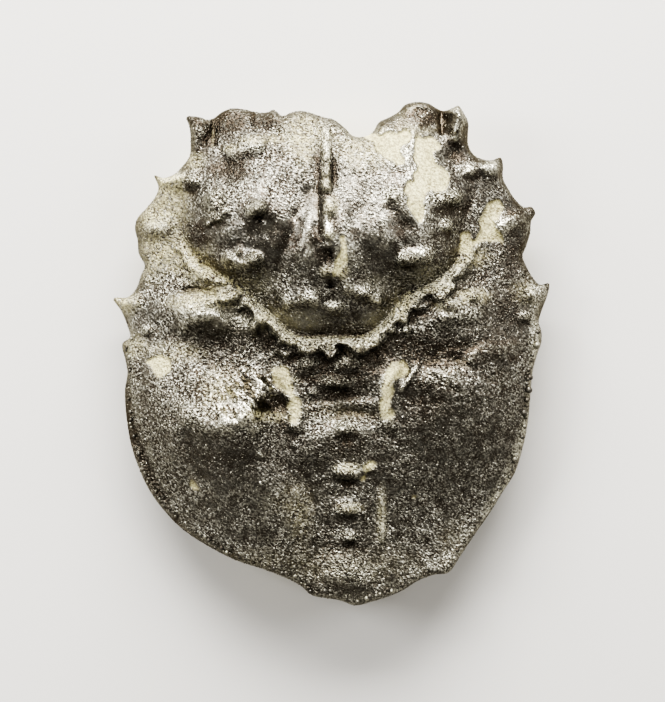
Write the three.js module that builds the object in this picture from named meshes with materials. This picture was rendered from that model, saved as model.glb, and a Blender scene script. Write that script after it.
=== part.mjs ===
// A fossil crab: the back shell, filled with rock, lying flat with its back up.
// Millimetres, +Z up. The front of the animal is at +Y and its right side at +X.
// The shell and the rock in it formed as one piece, so they are one solid.
import * as THREE from 'three';

// ---------- Driving dimensions, mm ----------

const HALF_WIDTH = 16.7; // the shell without its side spines
const FRONT_REACH = 19.8; // from the middle of the shell to its front edge
const REAR_REACH = 20.0; // from the middle of the shell to its rear edge
const EDGE_HEIGHT = 3.0; // height of the margin above the resting face
const DOME_RISE = 4.5; // how far the plain dome rises above the margin
const DOME_LEAN = 0.08; // share by which the dome is higher at the front edge and lower at the rear edge
const EDGE_STEP = 0.5; // blunt step between the margin and the back
const EDGE_ROUND = 0.6; // how far inside the margin that step is complete
const LIP = 0.45; // thickness of the shell under its own edge
const TURN_IN = 0.18; // share of the half width over which the underside turns in
const SPINE_LIFT = 4.0; // rise of a side spine for each half width that it stands out
const FRONT_LIFT = 1.6; // how much higher the front edge stands than the side edges
const FRONT_LIFT_FROM = 8; // y at which the margin starts to climb towards the front
const REAR_LIFT = 2.2; // how much higher the rear edge stands than the side edges
const REAR_LIFT_FROM = -11; // y at which the margin starts to climb towards the rear
const EDGE_FALL = 0.4; // share of the half width over which the regions sink to the margin

// ---------- Mesh fineness ----------

const POINTS_PER_SPAN = 2; // mesh points between two points of the margin
const BACK_RINGS = 34; // rings of mesh from the middle of the back to the margin
const BASE_RINGS = [0.98, 0.95, 0.91, 0.86, 0.8, 0.4]; // shares of the way out, on the underside
const BASE_THINNING = 0.6; // points of an underside ring for each point of a ring of the back
const SMOOTH_RING = 0.8; // rings inside this share have lost the spines and nicks of the margin

// ---------- The margin, clockwise seen from above ----------

const FRONT_EDGE = [
  [-11.6, 18.8], [-10.6, 18.8], [-10, 18.6], [-9.5, 18.7], [-8.8, 19.2], [-8, 19.5], [-6.9, 19.4],
  [-6.1, 19.2], [-5.2, 19.2], [-4.7, 19.4], [-4, 18.9], [-3.2, 19.2], [-2.4, 19.3], [-1.6, 19.1],
  [-0.7, 18.8], [0.1, 18.6], [0.9, 18], [1.6, 17.3], [2.4, 17.2], [3.2, 17.6], [3.7, 18.4],
  [4.5, 18.8], [5.2, 19.2], [5.8, 19.8], [6.6, 20], [7.6, 19.9], [8.3, 19.5], [8.8, 19.3], [9.5, 19.5],
];
const RIGHT_SPINES = [
  [10, 19.7], [10.4, 19.2], [10.8, 18.4], [10.8, 17.6], [10.8, 16.7], [11.2, 15.9], [11.9, 15.5],
  [12.7, 15.4], [13.4, 15.6], [13.6, 15], [13.6, 14], [14, 13.2], [14.6, 12.3], [15.3, 11.7],
  [15.9, 11.7], [16.2, 11.2], [15.9, 10.6], [15.8, 9.6], [15.5, 8.6], [15.2, 7.8], [15.5, 7],
  [16, 6.1], [16.6, 5.5], [17.3, 5.6], [17.2, 4.7], [16.8, 3.6], [16.5, 2.5], [16.7, 1.8],
];
const RIGHT_FLANK = [
  [16.7, 0.9], [16.4, 0], [16, -1.5], [15.8, -3.7], [15.6, -5.7], [15.2, -7.6], [14.6, -9.5],
  [13.6, -11.1], [12.6, -12.7], [11.3, -14.5], [10.2, -16.1],
];
const REAR_EDGE = [
  [9.2, -17.4], [8, -17.6], [6.7, -18.1], [5.6, -18.8], [4.4, -19.3], [3.1, -19.7],
  [1.8, -20], [0.6, -19.6], [-0.6, -19.4], [-1.6, -19.2], [-2.6, -18.4], [-4, -17.7],
];
const LEFT_FLANK = [
  [-5.6, -17.1], [-7.8, -16.4], [-10, -15.3], [-12, -14], [-13.5, -12.5], [-14.6, -11],
  [-15.5, -9.1], [-16.1, -7.3], [-16.5, -4.9], [-16.6, -2.9], [-16.4, -1.5],
];
const LEFT_SPINES = [
  [-16.6, -0.4], [-16.8, 0.8], [-16.2, 1.3], [-16.4, 2.2], [-16.9, 3.4], [-17.5, 4.4], [-16.4, 4.5],
  [-15.7, 5.2], [-15.3, 6.3], [-15, 7], [-15.5, 8], [-15.6, 9.1], [-15.8, 10], [-15.6, 10.8],
  [-14.8, 11.7], [-14.1, 12.6], [-13.9, 13.3], [-14.2, 14.2], [-13.5, 14], [-12.6, 14.3],
  [-12, 14.9], [-11.4, 15.7], [-11.3, 17.1], [-11.4, 18.1],
];
const MARGIN = [...FRONT_EDGE, ...RIGHT_SPINES, ...RIGHT_FLANK, ...REAR_EDGE, ...LEFT_FLANK, ...LEFT_SPINES];

// ---------- The regions of the back ----------
// Each is a raised field with a closed ring, the height of the field and how far in it reaches it.

const NECK_GROOVE = [
  [-10.6, 16.3], [-11.6, 14.7], [-12.1, 12.3], [-12.1, 10.5], [-11.9, 9.2], [-11.4, 8.3], [-10.8, 7.6],
  [-10, 6.85], [-9, 6.35], [-8, 5.9], [-7.2, 5.25], [-6.5, 4.8], [-6, 4.35], [-5.3, 3.6], [-4.5, 2.85],
  [-3.8, 2.2], [-3.2, 1.7], [-2.5, 1.4], [-1, 1.4], [1, 1.4], [2.1, 1.45], [2.9, 1.7], [3.9, 2.4],
  [4.4, 2.9], [4.7, 3.5], [5.2, 4.1], [5.8, 4.75], [6.5, 5.15], [7.4, 5.4], [8.1, 5.75], [9, 6.45],
  [9.7, 7.1], [10, 8], [10.1, 9.2], [10.4, 10.4], [10.8, 11.6], [11.3, 12.9], [11.5, 14.2], [10.8, 15.6],
];
const REGIONS = [
  { // stomach region, inside the U of the neck groove
    ring: [...NECK_GROOVE, [10.4, 17.6], [10.5, 24], [-10.2, 24], [-9.9, 18.2]],
    height: 2.4,
    run: 5.6,
  },
  { // left gill region
    ring: [[-24, 1.4], [-16.5, 1.2], [-14.6, 0.9], [-12.2, 0.6], [-10.6, -0.3], [-9, -1], [-7.2, -1.3],
      [-6, -1.1], [-5, -1.4], [-4.2, -2.4], [-3.7, -3.6], [-3.5, -5.2], [-3.3, -6.9], [-2.8, -8.7],
      [-2, -10.9], [-1.6, -13.3], [-1.8, -15.7], [-2.2, -30], [-24, -30]],
    height: 2.4,
    run: 5.0,
  },
  { // right gill region
    ring: [[24, 2.8], [16.7, 2.3], [15, 1.4], [12.6, 1], [11, 0.6], [10, -0.3], [7.8, -0.8], [6.4, -1],
      [5.5, -1.9], [5, -3.3], [4.7, -4.8], [4.8, -6.2], [4.7, -8], [4.4, -10], [4.3, -12.5],
      [4.2, -15.3], [4.6, -30], [24, -30]],
    height: 0.3,
    run: 1.0,
  },
  { // left shoulder lobe, ahead of the gill groove
    ring: [[-24, 5.4], [-17, 5.2], [-14.5, 5], [-12.6, 5.2], [-10.8, 5.5], [-9, 5.1], [-7.6, 4.3],
      [-6.2, 3], [-5.6, 1.6], [-6.4, 0.9], [-8.4, 1.5], [-11, 2.2], [-14, 2.4], [-24, 2.8]],
    height: 0.5,
    run: 1.8,
  },
  { // right shoulder lobe
    ring: [[24, 6.2], [17, 5.6], [14.5, 5], [12.2, 5.3], [10.4, 5.8], [8.8, 5.3], [7.4, 4.5], [6.4, 3.4],
      [6.1, 1.8], [7, 1], [9, 1.7], [11, 2.6], [14, 3], [24, 3.9]],
    height: 0.5,
    run: 1.8,
  },
];

// Broad swellings and hollows: x, y, reach in x, reach in y, height.
const SWELLINGS = [
  [-6.4, 9.4, 5, 5, 0.8], [6.6, 9.6, 5, 5, 1.0], [0.4, 9, 6, 5, 1.1], // bosses of the stomach region
  [-7.4, 7.5, 2.6, 1.8, 0.6], [6.4, 7.8, 2.2, 1.7, 0.6], [0.4, 6, 4, 2.6, -0.4], // rear of the stomach
  [0.6, -3.9, 4.2, 3, -1.1], [0.2, -6.8, 4.4, 2.8, 1.0], [0.8, -12.2, 3.4, 3.4, 0.4], // heart region
  [-4.6, -3.95, 1.6, 1.1, -0.7], [6.6, -3.4, 2.4, 2, -0.4], // the pits beside it
  [-13, -7, 4, 5, 0.6], [9.5, -2.6, 6, 5, 0.7], [10.4, -0.5, 6.5, 2.8, -0.7], // gill regions
  [-11.2, 4, 4.4, 3.8, 0.6], // left shoulder
  [-7.4, 18.4, 2.6, 2, 0.6], [-3, 18.6, 2.8, 1.8, 0.5], [6.8, 18.9, 2.4, 2.1, 0.7], // brow lobes
  [-6.2, 15.7, 3.2, 1.5, -0.45], // hollow behind the brow
  [-10.7, 17.2, 1.3, 2.2, -0.7], [10.3, 17.6, 1.6, 2.6, -0.7], // the sides of the brow
];

// Ridges (height above 0) and grooves (below 0): path, flank left and right of it, height, end taper.
const RIDGES = [
  { // raised rim behind the neck groove
    path: [[-11.9, 7.6], [-10.8, 6.6], [-9.7, 5.9], [-8.6, 5.4], [-7.7, 4.7], [-6.9, 4.2], [-6.3, 3.7],
      [-5.7, 3], [-5, 2.3], [-4.3, 1.6], [-3.6, 1.05], [-2.6, 0.65], [-1, 0.5], [1, 0.5], [2.3, 0.7],
      [3.2, 1.1], [4.2, 1.8], [4.9, 2.35], [5.4, 3], [5.9, 3.65], [6.6, 4.15], [7.5, 4.4], [8.4, 4.8],
      [9.4, 5.5], [10.1, 6.2]],
    flanks: [0.8, 0.85],
    height: 1.0,
    taper: 0.1,
  },
  { // left and right rims of the heart region
    path: [[-5, -0.9], [-4.4, -1.8], [-3.9, -2.6], [-3.3, -3.5], [-2.95, -4.6], [-2.8, -6.8]],
    flanks: [0.55, 0.5],
    height: 0.6,
    taper: 0.12,
  },
  {
    path: [[5.5, -0.7], [5, -1.6], [4.65, -2.4], [4.35, -3.3], [4.35, -4.6], [4.6, -6.6]],
    flanks: [0.5, 0.55],
    height: 0.6,
    taper: 0.12,
  },
  { // fronts of the left and right gill regions
    path: [[-13.6, -4.6], [-11, -5.2], [-8.8, -5.4], [-6.8, -5.5], [-5, -6.4]],
    flanks: [2.2, 1.2],
    height: 0.5,
    taper: 0.25,
  },
  {
    path: [[7, -1.1], [8.1, -1.5], [9.3, -1.5], [10.4, -1], [11.2, 0], [12.1, 0.5], [13.5, 0.4],
      [15, 0.9]],
    flanks: [0.35, 1.3],
    height: 0.3,
    taper: 0.12,
  },
  { // crests of the left and right shoulder lobes
    path: [[-12.9, 2.9], [-11.4, 3.2], [-9.9, 3.2], [-8.7, 2.9], [-7.9, 3.1]],
    flanks: [1.0, 1.1],
    height: 0.75,
    taper: 0.25,
  },
  {
    path: [[7.7, 3.8], [8.8, 3.45], [10.2, 3.5], [11.4, 3.7], [12.6, 3.9]],
    flanks: [0.8, 0.9],
    height: 0.55,
    taper: 0.25,
  },
  { // ridge along the middle of the stomach region
    path: [[-0.5, 18.4], [-0.5, 14], [-0.4, 11], [-0.3, 9]],
    flanks: [0.5, 0.5],
    height: 0.3,
    taper: 0.06,
  },
  { // crests across the rear of the stomach region
    path: [[-9.2, 7.1], [-8.1, 7.7], [-6.9, 7.8], [-5.3, 7.1]],
    flanks: [1.2, 0.6],
    height: 0.75,
    taper: 0.25,
  },
  {
    path: [[4.6, 8], [5.8, 8.1], [7.2, 8.5], [8.2, 8.2]],
    flanks: [1.1, 0.6],
    height: 0.65,
    taper: 0.25,
  },
  {
    path: [[-3.9, 3.7], [-3, 4.2], [-1.6, 4.2], [-0.6, 3.9]],
    flanks: [1.2, 0.5],
    height: 0.75,
    taper: 0.2,
  },
  {
    path: [[0.4, 4.9], [1.5, 5.1], [2.8, 4.7], [4.2, 4.1]],
    flanks: [1.0, 0.45],
    height: 0.8,
    taper: 0.2,
  },
  { // shallow valleys either side of the middle
    path: [[-5.2, 4.6], [-4.3, 6.4], [-3.4, 8.6], [-2.6, 11], [-2, 13.5]],
    flanks: [0.9, 0.9],
    height: -0.3,
    taper: 0.3,
  },
  {
    path: [[5, 5], [3.9, 6.4], [2.9, 8.6], [2.2, 11], [1.8, 13.5]],
    flanks: [0.9, 0.9],
    height: -0.3,
    taper: 0.3,
  },
];

// Each side spine runs inwards as a ridge: tip, middle, root, height.
const SPINE_RIDGES = [
  [[-11.5, 18.6], [-11.2, 17.2], [-10.8, 15.2], 0.4],
  [[-14.2, 14.2], [-12.9, 13.9], [-11.4, 13.8], 0.5],
  [[-15.7, 10.4], [-14.2, 10.2], [-12.4, 9.9], 0.55],
  [[-17.5, 4.4], [-16.4, 4.2], [-15, 4.1], 0.5],
  [[10, 19.6], [9.9, 18], [9.6, 15.6], 0.45],
  [[13.4, 15.6], [12.6, 14.8], [11.6, 14], 0.5],
  [[16.2, 11.2], [14.6, 10.4], [12.4, 9.5], 0.6],
  [[17.3, 5.6], [16.4, 4.9], [15.2, 4.5], 0.5],
];
const SPINE_FLANK = 0.75;
const SPINE_TAPER = 0.35;

// Knobs: x, y, reach in x, reach in y, height.
const KNOBS = [
  [-9.2, 12, 0.75, 0.7, 0.55], [-9, 11, 0.7, 0.6, 0.7], [-9.6, 10.1, 0.5, 0.45, 0.5],
  [-5.9, 11.2, 0.75, 0.75, 1.0], [-8.1, 7.5, 0.5, 0.45, 0.7], [-6.2, 7.4, 0.6, 0.5, 0.85],
  [-11.1, 13.6, 0.55, 0.55, 0.7],
  [4.6, 12.3, 0.7, 0.7, 0.9], [8.5, 12.1, 0.8, 0.7, 0.7], [9.6, 12.3, 0.55, 0.55, 0.8],
  [9, 10, 0.5, 0.5, 0.55], [5.9, 7.9, 0.85, 0.7, 0.8], [7.6, 8.4, 0.6, 0.5, 0.4],
  [10.9, 14.5, 0.6, 0.5, 0.7],
  [-0.5, 13, 0.5, 0.5, 0.35], [-0.3, 10.2, 0.5, 0.6, 0.35], [-0.2, 6.3, 0.5, 0.5, 0.5],
  [-2.1, 4.3, 0.5, 0.45, 0.35], [-0.1, 3.6, 0.55, 0.5, 0.7], [2.4, 4.7, 0.6, 0.5, 0.3],
  [-1.8, -0.8, 0.7, 0.6, 0.6], [1.2, -0.9, 0.9, 0.75, 1.1], [0.4, -2.2, 0.7, 0.5, 0.8],
  [1.1, -5.9, 0.8, 0.6, 0.9], [1.2, -9.2, 0.85, 0.55, 1.1], [2.8, -8.9, 0.5, 0.5, 0.4],
  [1.2, -12.4, 0.8, 0.5, 0.9], [1.4, -14.6, 0.6, 0.5, 0.5], [1.4, -17.4, 1.7, 1.3, 0.35],
  [-9.6, 4.1, 0.8, 0.5, 0.35], [9.2, 3.8, 0.8, 0.5, 0.35], [11.2, 4.5, 0.55, 0.5, 0.45],
  [15.3, 2.9, 0.5, 0.5, 0.4], [-14.8, 1.8, 0.5, 0.5, 0.35],
];

// ---------- Curves and distances in plan ----------

const PATH_POINTS_PER_SPAN = 4;

function planCurve(points, closed) {
  const corners = points.map(([x, y]) => new THREE.Vector3(x, y, 0));
  return new THREE.CatmullRomCurve3(corners, closed, 'centripetal');
}

function tracePath(points, closed) {
  const spans = closed ? points.length : points.length - 1;
  return planCurve(points, closed).getPoints(spans * PATH_POINTS_PER_SPAN);
}

// Distance from (x, y) to a traced path, the side it lies on (left is +1) and how far along it is.
function nearestOn(trace, x, y) {
  let best = { distance: Infinity, side: 1, along: 0 };
  for (let i = 0; i + 1 < trace.length; i += 1) {
    const from = trace[i];
    const runX = trace[i + 1].x - from.x;
    const runY = trace[i + 1].y - from.y;
    const lengthSquared = runX * runX + runY * runY;
    const share = ((x - from.x) * runX + (y - from.y) * runY) / lengthSquared;
    const held = THREE.MathUtils.clamp(share, 0, 1);
    const offX = x - from.x - held * runX;
    const offY = y - from.y - held * runY;
    const distance = Math.hypot(offX, offY);
    if (distance < best.distance) {
      const side = Math.sign(runX * offY - runY * offX) || 1;
      best = { distance, side, along: (i + held) / (trace.length - 1) };
    }
  }
  return best;
}

function isInside(trace, x, y) {
  let inside = false;
  for (let i = 0; i + 1 < trace.length; i += 1) {
    const a = trace[i];
    const b = trace[i + 1];
    const crosses = (a.y > y) !== (b.y > y);
    if (crosses && x < ((b.x - a.x) * (y - a.y)) / (b.y - a.y) + a.x) {
      inside = !inside;
    }
  }
  return inside;
}

// ---------- The height of the back ----------

const REGION_SOFTNESS = 0.5; // mm over which the foot of a region is rounded
const DOME_ROUNDNESS = { front: 2.2, rear: 2.5 }; // higher is flatter with a steeper edge
const DOME_STEEPNESS = { front: 0.85, rear: 1.55 }; // higher is a thinner brim round the dome
const BRIM_FROM = -4; // y at which the brim starts to thin towards the rear
const KNOB_SKIRT = { height: 0.8, spread: 1.1 };
const KNOB_TIP = { height: 1.04, sharpness: 2.3, bluntness: 0.04 };

// How far out a point is: 0 in the middle, 1 on the smooth margin without spines.
function outwardShare(x, y) {
  const across = Math.abs(x) / HALF_WIDTH;
  if (y > 0) {
    return Math.cbrt(across ** 3 + (y / FRONT_REACH) ** 3);
  }
  return Math.hypot(across, y / REAR_REACH);
}

function plainDome(x, y) {
  const rearward = THREE.MathUtils.smoothstep(-y, 0, REAR_REACH);
  const roundness = THREE.MathUtils.lerp(DOME_ROUNDNESS.front, DOME_ROUNDNESS.rear, rearward);
  const thinning = THREE.MathUtils.smoothstep(-y, -BRIM_FROM, REAR_REACH);
  const steepness = THREE.MathUtils.lerp(DOME_STEEPNESS.front, DOME_STEEPNESS.rear, thinning);
  const lean = 1 + (DOME_LEAN * y) / FRONT_REACH;
  const share = Math.min(outwardShare(x, y), 1);
  return EDGE_HEIGHT + DOME_RISE * lean * (1 - share ** roundness) ** steepness;
}

// A quarter sine: 0 to 1, steep at first and level at the end.
function quarterWave(share) {
  return Math.sin((Math.PI / 2) * THREE.MathUtils.clamp(share, 0, 1));
}

function regionRise({ trace, height, run }, x, y) {
  const { distance } = nearestOn(trace, x, y);
  const inward = isInside(trace, x, y) ? distance : -distance;
  const eased = (inward + Math.hypot(inward, REGION_SOFTNESS)) / 2;
  return height * quarterWave(eased / run);
}

function swellingRise([centreX, centreY, reachX, reachY, height], x, y) {
  const share = ((x - centreX) / reachX) ** 2 + ((y - centreY) / reachY) ** 2;
  return height * Math.max(1 - share, 0) ** 2;
}

function ridgeRise({ trace, flanks, height, taper }, x, y) {
  const { distance, side, along } = nearestOn(trace, x, y);
  const flank = side > 0 ? flanks[0] : flanks[1];
  const fadeIn = THREE.MathUtils.smoothstep(along, 0, taper);
  const fadeOut = THREE.MathUtils.smoothstep(1 - along, 0, taper);
  return height * Math.exp(-((distance / flank) ** 2)) * fadeIn * fadeOut;
}

// A broad low skirt with a small blunt tip on it.
function knobRise([centreX, centreY, reachX, reachY, height], x, y) {
  const share = ((x - centreX) / reachX) ** 2 + ((y - centreY) / reachY) ** 2;
  const skirt = KNOB_SKIRT.height * Math.exp(-share / KNOB_SKIRT.spread);
  const tip = KNOB_TIP.height * Math.exp(-KNOB_TIP.sharpness * Math.sqrt(share + KNOB_TIP.bluntness));
  return height * (skirt + tip);
}

const regions = REGIONS.map((region) => ({ ...region, trace: tracePath(region.ring, true) }));
const spineRidges = SPINE_RIDGES.map(([tip, middle, root, height]) => ({
  path: [tip, middle, root],
  flanks: [SPINE_FLANK, SPINE_FLANK],
  height,
  taper: SPINE_TAPER,
}));
const allRidges = [...RIDGES, ...spineRidges];
const ridges = allRidges.map((ridge) => ({ ...ridge, trace: tracePath(ridge.path, false) }));
const marginTrace = tracePath(MARGIN, true);

function sumOf(features, riseOf, x, y) {
  return features.reduce((sum, feature) => sum + riseOf(feature, x, y), 0);
}

function reliefHeight(x, y) {
  const fields = sumOf(regions, regionRise, x, y) + sumOf(SWELLINGS, swellingRise, x, y);
  const details = sumOf(ridges, ridgeRise, x, y) + sumOf(KNOBS, knobRise, x, y);
  const fall = quarterWave((1 - outwardShare(x, y)) / EDGE_FALL);
  return plainDome(x, y) + fields * fall + details;
}

function marginHeight(x, y) {
  const frontClimb = FRONT_LIFT * THREE.MathUtils.smoothstep(y, FRONT_LIFT_FROM, FRONT_REACH);
  const rearClimb = REAR_LIFT * THREE.MathUtils.smoothstep(-y, -REAR_LIFT_FROM, REAR_REACH);
  return EDGE_HEIGHT + frontClimb + rearClimb + SPINE_LIFT * Math.max(outwardShare(x, y) - 1, 0);
}

// 0 on the margin, 1 once the edge has rounded over.
function edgeRounding(x, y) {
  const share = Math.min(nearestOn(marginTrace, x, y).distance / EDGE_ROUND, 1);
  return Math.sqrt(1 - (1 - share) ** 2);
}

function backHeight(x, y) {
  const rise = reliefHeight(x, y) - EDGE_HEIGHT + EDGE_STEP;
  return marginHeight(x, y) + edgeRounding(x, y) * rise;
}

function undersideHeight(x, y) {
  const edge = marginHeight(x, y);
  const turned = THREE.MathUtils.smoothstep((1 - outwardShare(x, y)) / TURN_IN, 0, 1);
  return edge - edgeRounding(x, y) * (LIP + (edge - LIP) * turned);
}

// ---------- The solid: rings of mesh over the back and under it ----------

const marginCurve = planCurve(MARGIN, true);
const MARGIN_POINTS = MARGIN.length * POINTS_PER_SPAN;

// How far in a ring lies from a point of the margin: inner rings follow the smooth form of the shell,
// and the outer ones change step by step into the real margin.
function ringScale(share, edge) {
  const out = outwardShare(edge.x, edge.y);
  if (share < SMOOTH_RING) {
    return share / out;
  }
  return THREE.MathUtils.mapLinear(share, SMOOTH_RING, 1, SMOOTH_RING / out, 1);
}

// One ring around the middle of the shell, at the height that heightAt gives.
function ringOf(share, count, heightAt) {
  const ring = [];
  for (let i = 0; i < count; i += 1) {
    const edge = marginCurve.getPoint(i / count);
    const scale = ringScale(share, edge);
    const x = scale * edge.x;
    const y = scale * edge.y;
    ring.push([x, y, heightAt(x, y)]);
  }
  return ring;
}

function buildCarapace() {
  const positions = [];
  const faces = [];

  function addPoints(points) {
    const first = positions.length / 3;
    positions.push(...points.flat());
    return points.map((_, i) => first + i);
  }

  // Joins two rings with a zip of triangles, facing up over the back and down under it.
  function zip(outer, inner, facesUp) {
    const steps = outer.length + (inner.length > 1 ? inner.length : 0);
    let a = 0;
    let b = 0;
    for (let i = 0; i < steps; i += 1) {
      const outerNext = (a + 1) / outer.length <= (b + 1) / inner.length;
      const from = outer[a % outer.length];
      const across = inner[b % inner.length];
      const ahead = outerNext ? outer[(a + 1) % outer.length] : inner[(b + 1) % inner.length];
      faces.push(...(facesUp ? [from, across, ahead] : [from, ahead, across]));
      if (outerNext) {
        a += 1;
      } else {
        b += 1;
      }
    }
  }

  const margin = addPoints(ringOf(1, MARGIN_POINTS, marginHeight));

  function cover(shares, thinning, heightAt, facesUp) {
    let outer = margin;
    for (const share of shares) {
      const count = Math.round(MARGIN_POINTS * share * thinning);
      const inner = addPoints(ringOf(share, count, heightAt));
      zip(outer, inner, facesUp);
      outer = inner;
    }
    const middle = addPoints([[0, 0, heightAt(0, 0)]]);
    zip(outer, middle, facesUp);
  }

  const backShares = Array.from({ length: BACK_RINGS - 1 }, (_, i) => 1 - (i + 1) / BACK_RINGS);
  cover(backShares, 1, backHeight, true);
  cover(BASE_RINGS, BASE_THINNING, undersideHeight, false);

  const geometry = new THREE.BufferGeometry();
  geometry.setAttribute('position', new THREE.Float32BufferAttribute(positions, 3));
  geometry.setIndex(faces);
  geometry.computeVertexNormals();
  return geometry;
}

// The origin goes to the middle of the footprint, on the surface it rests on.
function centreOnFootprint(geometry) {
  geometry.computeBoundingBox();
  const { min, max } = geometry.boundingBox;
  geometry.translate(-(min.x + max.x) / 2, -(min.y + max.y) / 2, -min.z);
  return geometry;
}

const shellMaterial = new THREE.MeshStandardMaterial({ color: 0x4d463a, roughness: 0.38, metalness: 0.5 });

const carapace = new THREE.Mesh(centreOnFootprint(buildCarapace()), shellMaterial);
carapace.name = 'carapace';

const crab = new THREE.Group();
crab.add(carapace);

export default crab;
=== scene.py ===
# %% [markdown]
# # A fossil crab's back shell
#
# The fossil is the back shell of a crab, filled with the fine pale rock that it was buried in. Shell and
# rock came out of the ground as one piece, so the CAD frame has one node, `carapace`, and this lesson
# models that node again as a fine mesh, and then grows the small grains of the shell on it.
#
# Everything is written in the fossil's own millimetres: the front of the animal is at +Y, its right side
# at +X, and its back faces up. Only the last step of each mesh turns millimetres into metres.

# %% Load the frame
import math
import bpy
import numpy as np
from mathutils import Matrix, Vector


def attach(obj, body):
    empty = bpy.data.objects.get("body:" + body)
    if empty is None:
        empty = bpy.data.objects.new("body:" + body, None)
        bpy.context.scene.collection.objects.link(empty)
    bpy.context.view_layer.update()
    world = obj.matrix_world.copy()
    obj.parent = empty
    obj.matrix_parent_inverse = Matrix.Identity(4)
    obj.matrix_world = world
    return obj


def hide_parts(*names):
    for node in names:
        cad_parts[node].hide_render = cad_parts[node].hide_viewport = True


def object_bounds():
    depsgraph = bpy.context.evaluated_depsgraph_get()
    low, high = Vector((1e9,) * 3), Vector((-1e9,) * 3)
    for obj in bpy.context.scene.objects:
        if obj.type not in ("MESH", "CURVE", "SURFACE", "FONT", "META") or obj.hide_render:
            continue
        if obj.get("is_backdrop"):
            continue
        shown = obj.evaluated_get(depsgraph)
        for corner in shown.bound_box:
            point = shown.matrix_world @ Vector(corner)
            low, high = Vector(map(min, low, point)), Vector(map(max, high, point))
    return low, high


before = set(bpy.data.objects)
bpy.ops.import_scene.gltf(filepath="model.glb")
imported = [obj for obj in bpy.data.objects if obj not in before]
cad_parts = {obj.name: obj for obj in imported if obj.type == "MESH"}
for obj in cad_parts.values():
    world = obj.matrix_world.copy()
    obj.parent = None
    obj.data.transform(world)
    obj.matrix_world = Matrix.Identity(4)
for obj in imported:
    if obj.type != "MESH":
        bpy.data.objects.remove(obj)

cad_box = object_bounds()
MM = 0.001
print("CAD box, mm:", [[round(v / MM, 2) for v in corner] for corner in cad_box])

# %% [markdown]
# ## The margin
#
# Seen from above, the edge of the shell is a row of spines and bays on each side, a brow in front, two
# plain flanks and a rear edge that sits a little off the middle. A smooth curve through a few listed
# points gives all of it. A centripetal Catmull-Rom spline is used because it passes through its points and
# never loops at a sharp one, so the tip of a spine can simply be a point.

# %% Margin points, clockwise from above
FRONT_EDGE = [
    (-11.6, 18.8), (-10.6, 18.8), (-10, 18.6), (-9.5, 18.7), (-8.8, 19.2), (-8, 19.5), (-6.9, 19.4),
    (-6.1, 19.2), (-5.2, 19.2), (-4.7, 19.4), (-4, 18.9), (-3.2, 19.2), (-2.4, 19.3), (-1.6, 19.1),
    (-0.7, 18.8), (0.1, 18.6), (0.9, 18), (1.6, 17.3), (2.4, 17.2), (3.2, 17.6), (3.7, 18.4), (4.5, 18.8),
    (5.2, 19.2), (5.8, 19.8), (6.6, 20), (7.6, 19.9), (8.3, 19.5), (8.8, 19.3), (9.5, 19.5),
]
RIGHT_SPINES = [
    (10, 19.7), (10.4, 19.2), (10.8, 18.4), (10.8, 17.6), (10.8, 16.7), (11.2, 15.9), (11.9, 15.5),
    (12.7, 15.4), (13.4, 15.6), (13.6, 15), (13.6, 14), (14, 13.2), (14.6, 12.3), (15.3, 11.7),
    (15.9, 11.7), (16.2, 11.2), (15.9, 10.6), (15.8, 9.6), (15.5, 8.6), (15.2, 7.8), (15.5, 7), (16, 6.1),
    (16.6, 5.5), (17.3, 5.6), (17.2, 4.7), (16.8, 3.6), (16.5, 2.5), (16.7, 1.8),
]
RIGHT_FLANK = [
    (16.7, 0.9), (16.4, 0), (16, -1.5), (15.8, -3.7), (15.6, -5.7), (15.2, -7.6), (14.6, -9.5),
    (13.6, -11.1), (12.6, -12.7), (11.3, -14.5), (10.2, -16.1),
]
REAR_EDGE = [
    (9.2, -17.4), (8, -17.6), (6.7, -18.1), (5.6, -18.8), (4.4, -19.3), (3.1, -19.7), (1.8, -20),
    (0.6, -19.6), (-0.6, -19.4), (-1.6, -19.2), (-2.6, -18.4), (-4, -17.7),
]
LEFT_FLANK = [
    (-5.6, -17.1), (-7.8, -16.4), (-10, -15.3), (-12, -14), (-13.5, -12.5), (-14.6, -11), (-15.5, -9.1),
    (-16.1, -7.3), (-16.5, -4.9), (-16.6, -2.9), (-16.4, -1.5),
]
LEFT_SPINES = [
    (-16.6, -0.4), (-16.8, 0.8), (-16.2, 1.3), (-16.4, 2.2), (-16.9, 3.4), (-17.5, 4.4), (-16.4, 4.5),
    (-15.7, 5.2), (-15.3, 6.3), (-15, 7), (-15.5, 8), (-15.6, 9.1), (-15.8, 10), (-15.6, 10.8),
    (-14.8, 11.7), (-14.1, 12.6), (-13.9, 13.3), (-14.2, 14.2), (-13.5, 14), (-12.6, 14.3), (-12, 14.9),
    (-11.4, 15.7), (-11.3, 17.1), (-11.4, 18.1),
]
MARGIN = FRONT_EDGE + RIGHT_SPINES + RIGHT_FLANK + REAR_EDGE + LEFT_FLANK + LEFT_SPINES
print("margin points:", len(MARGIN))


# %% A smooth curve through points
def blend(t, start, end, first, last):
    return (end - t) / (end - start) * first + (t - start) / (end - start) * last


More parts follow.
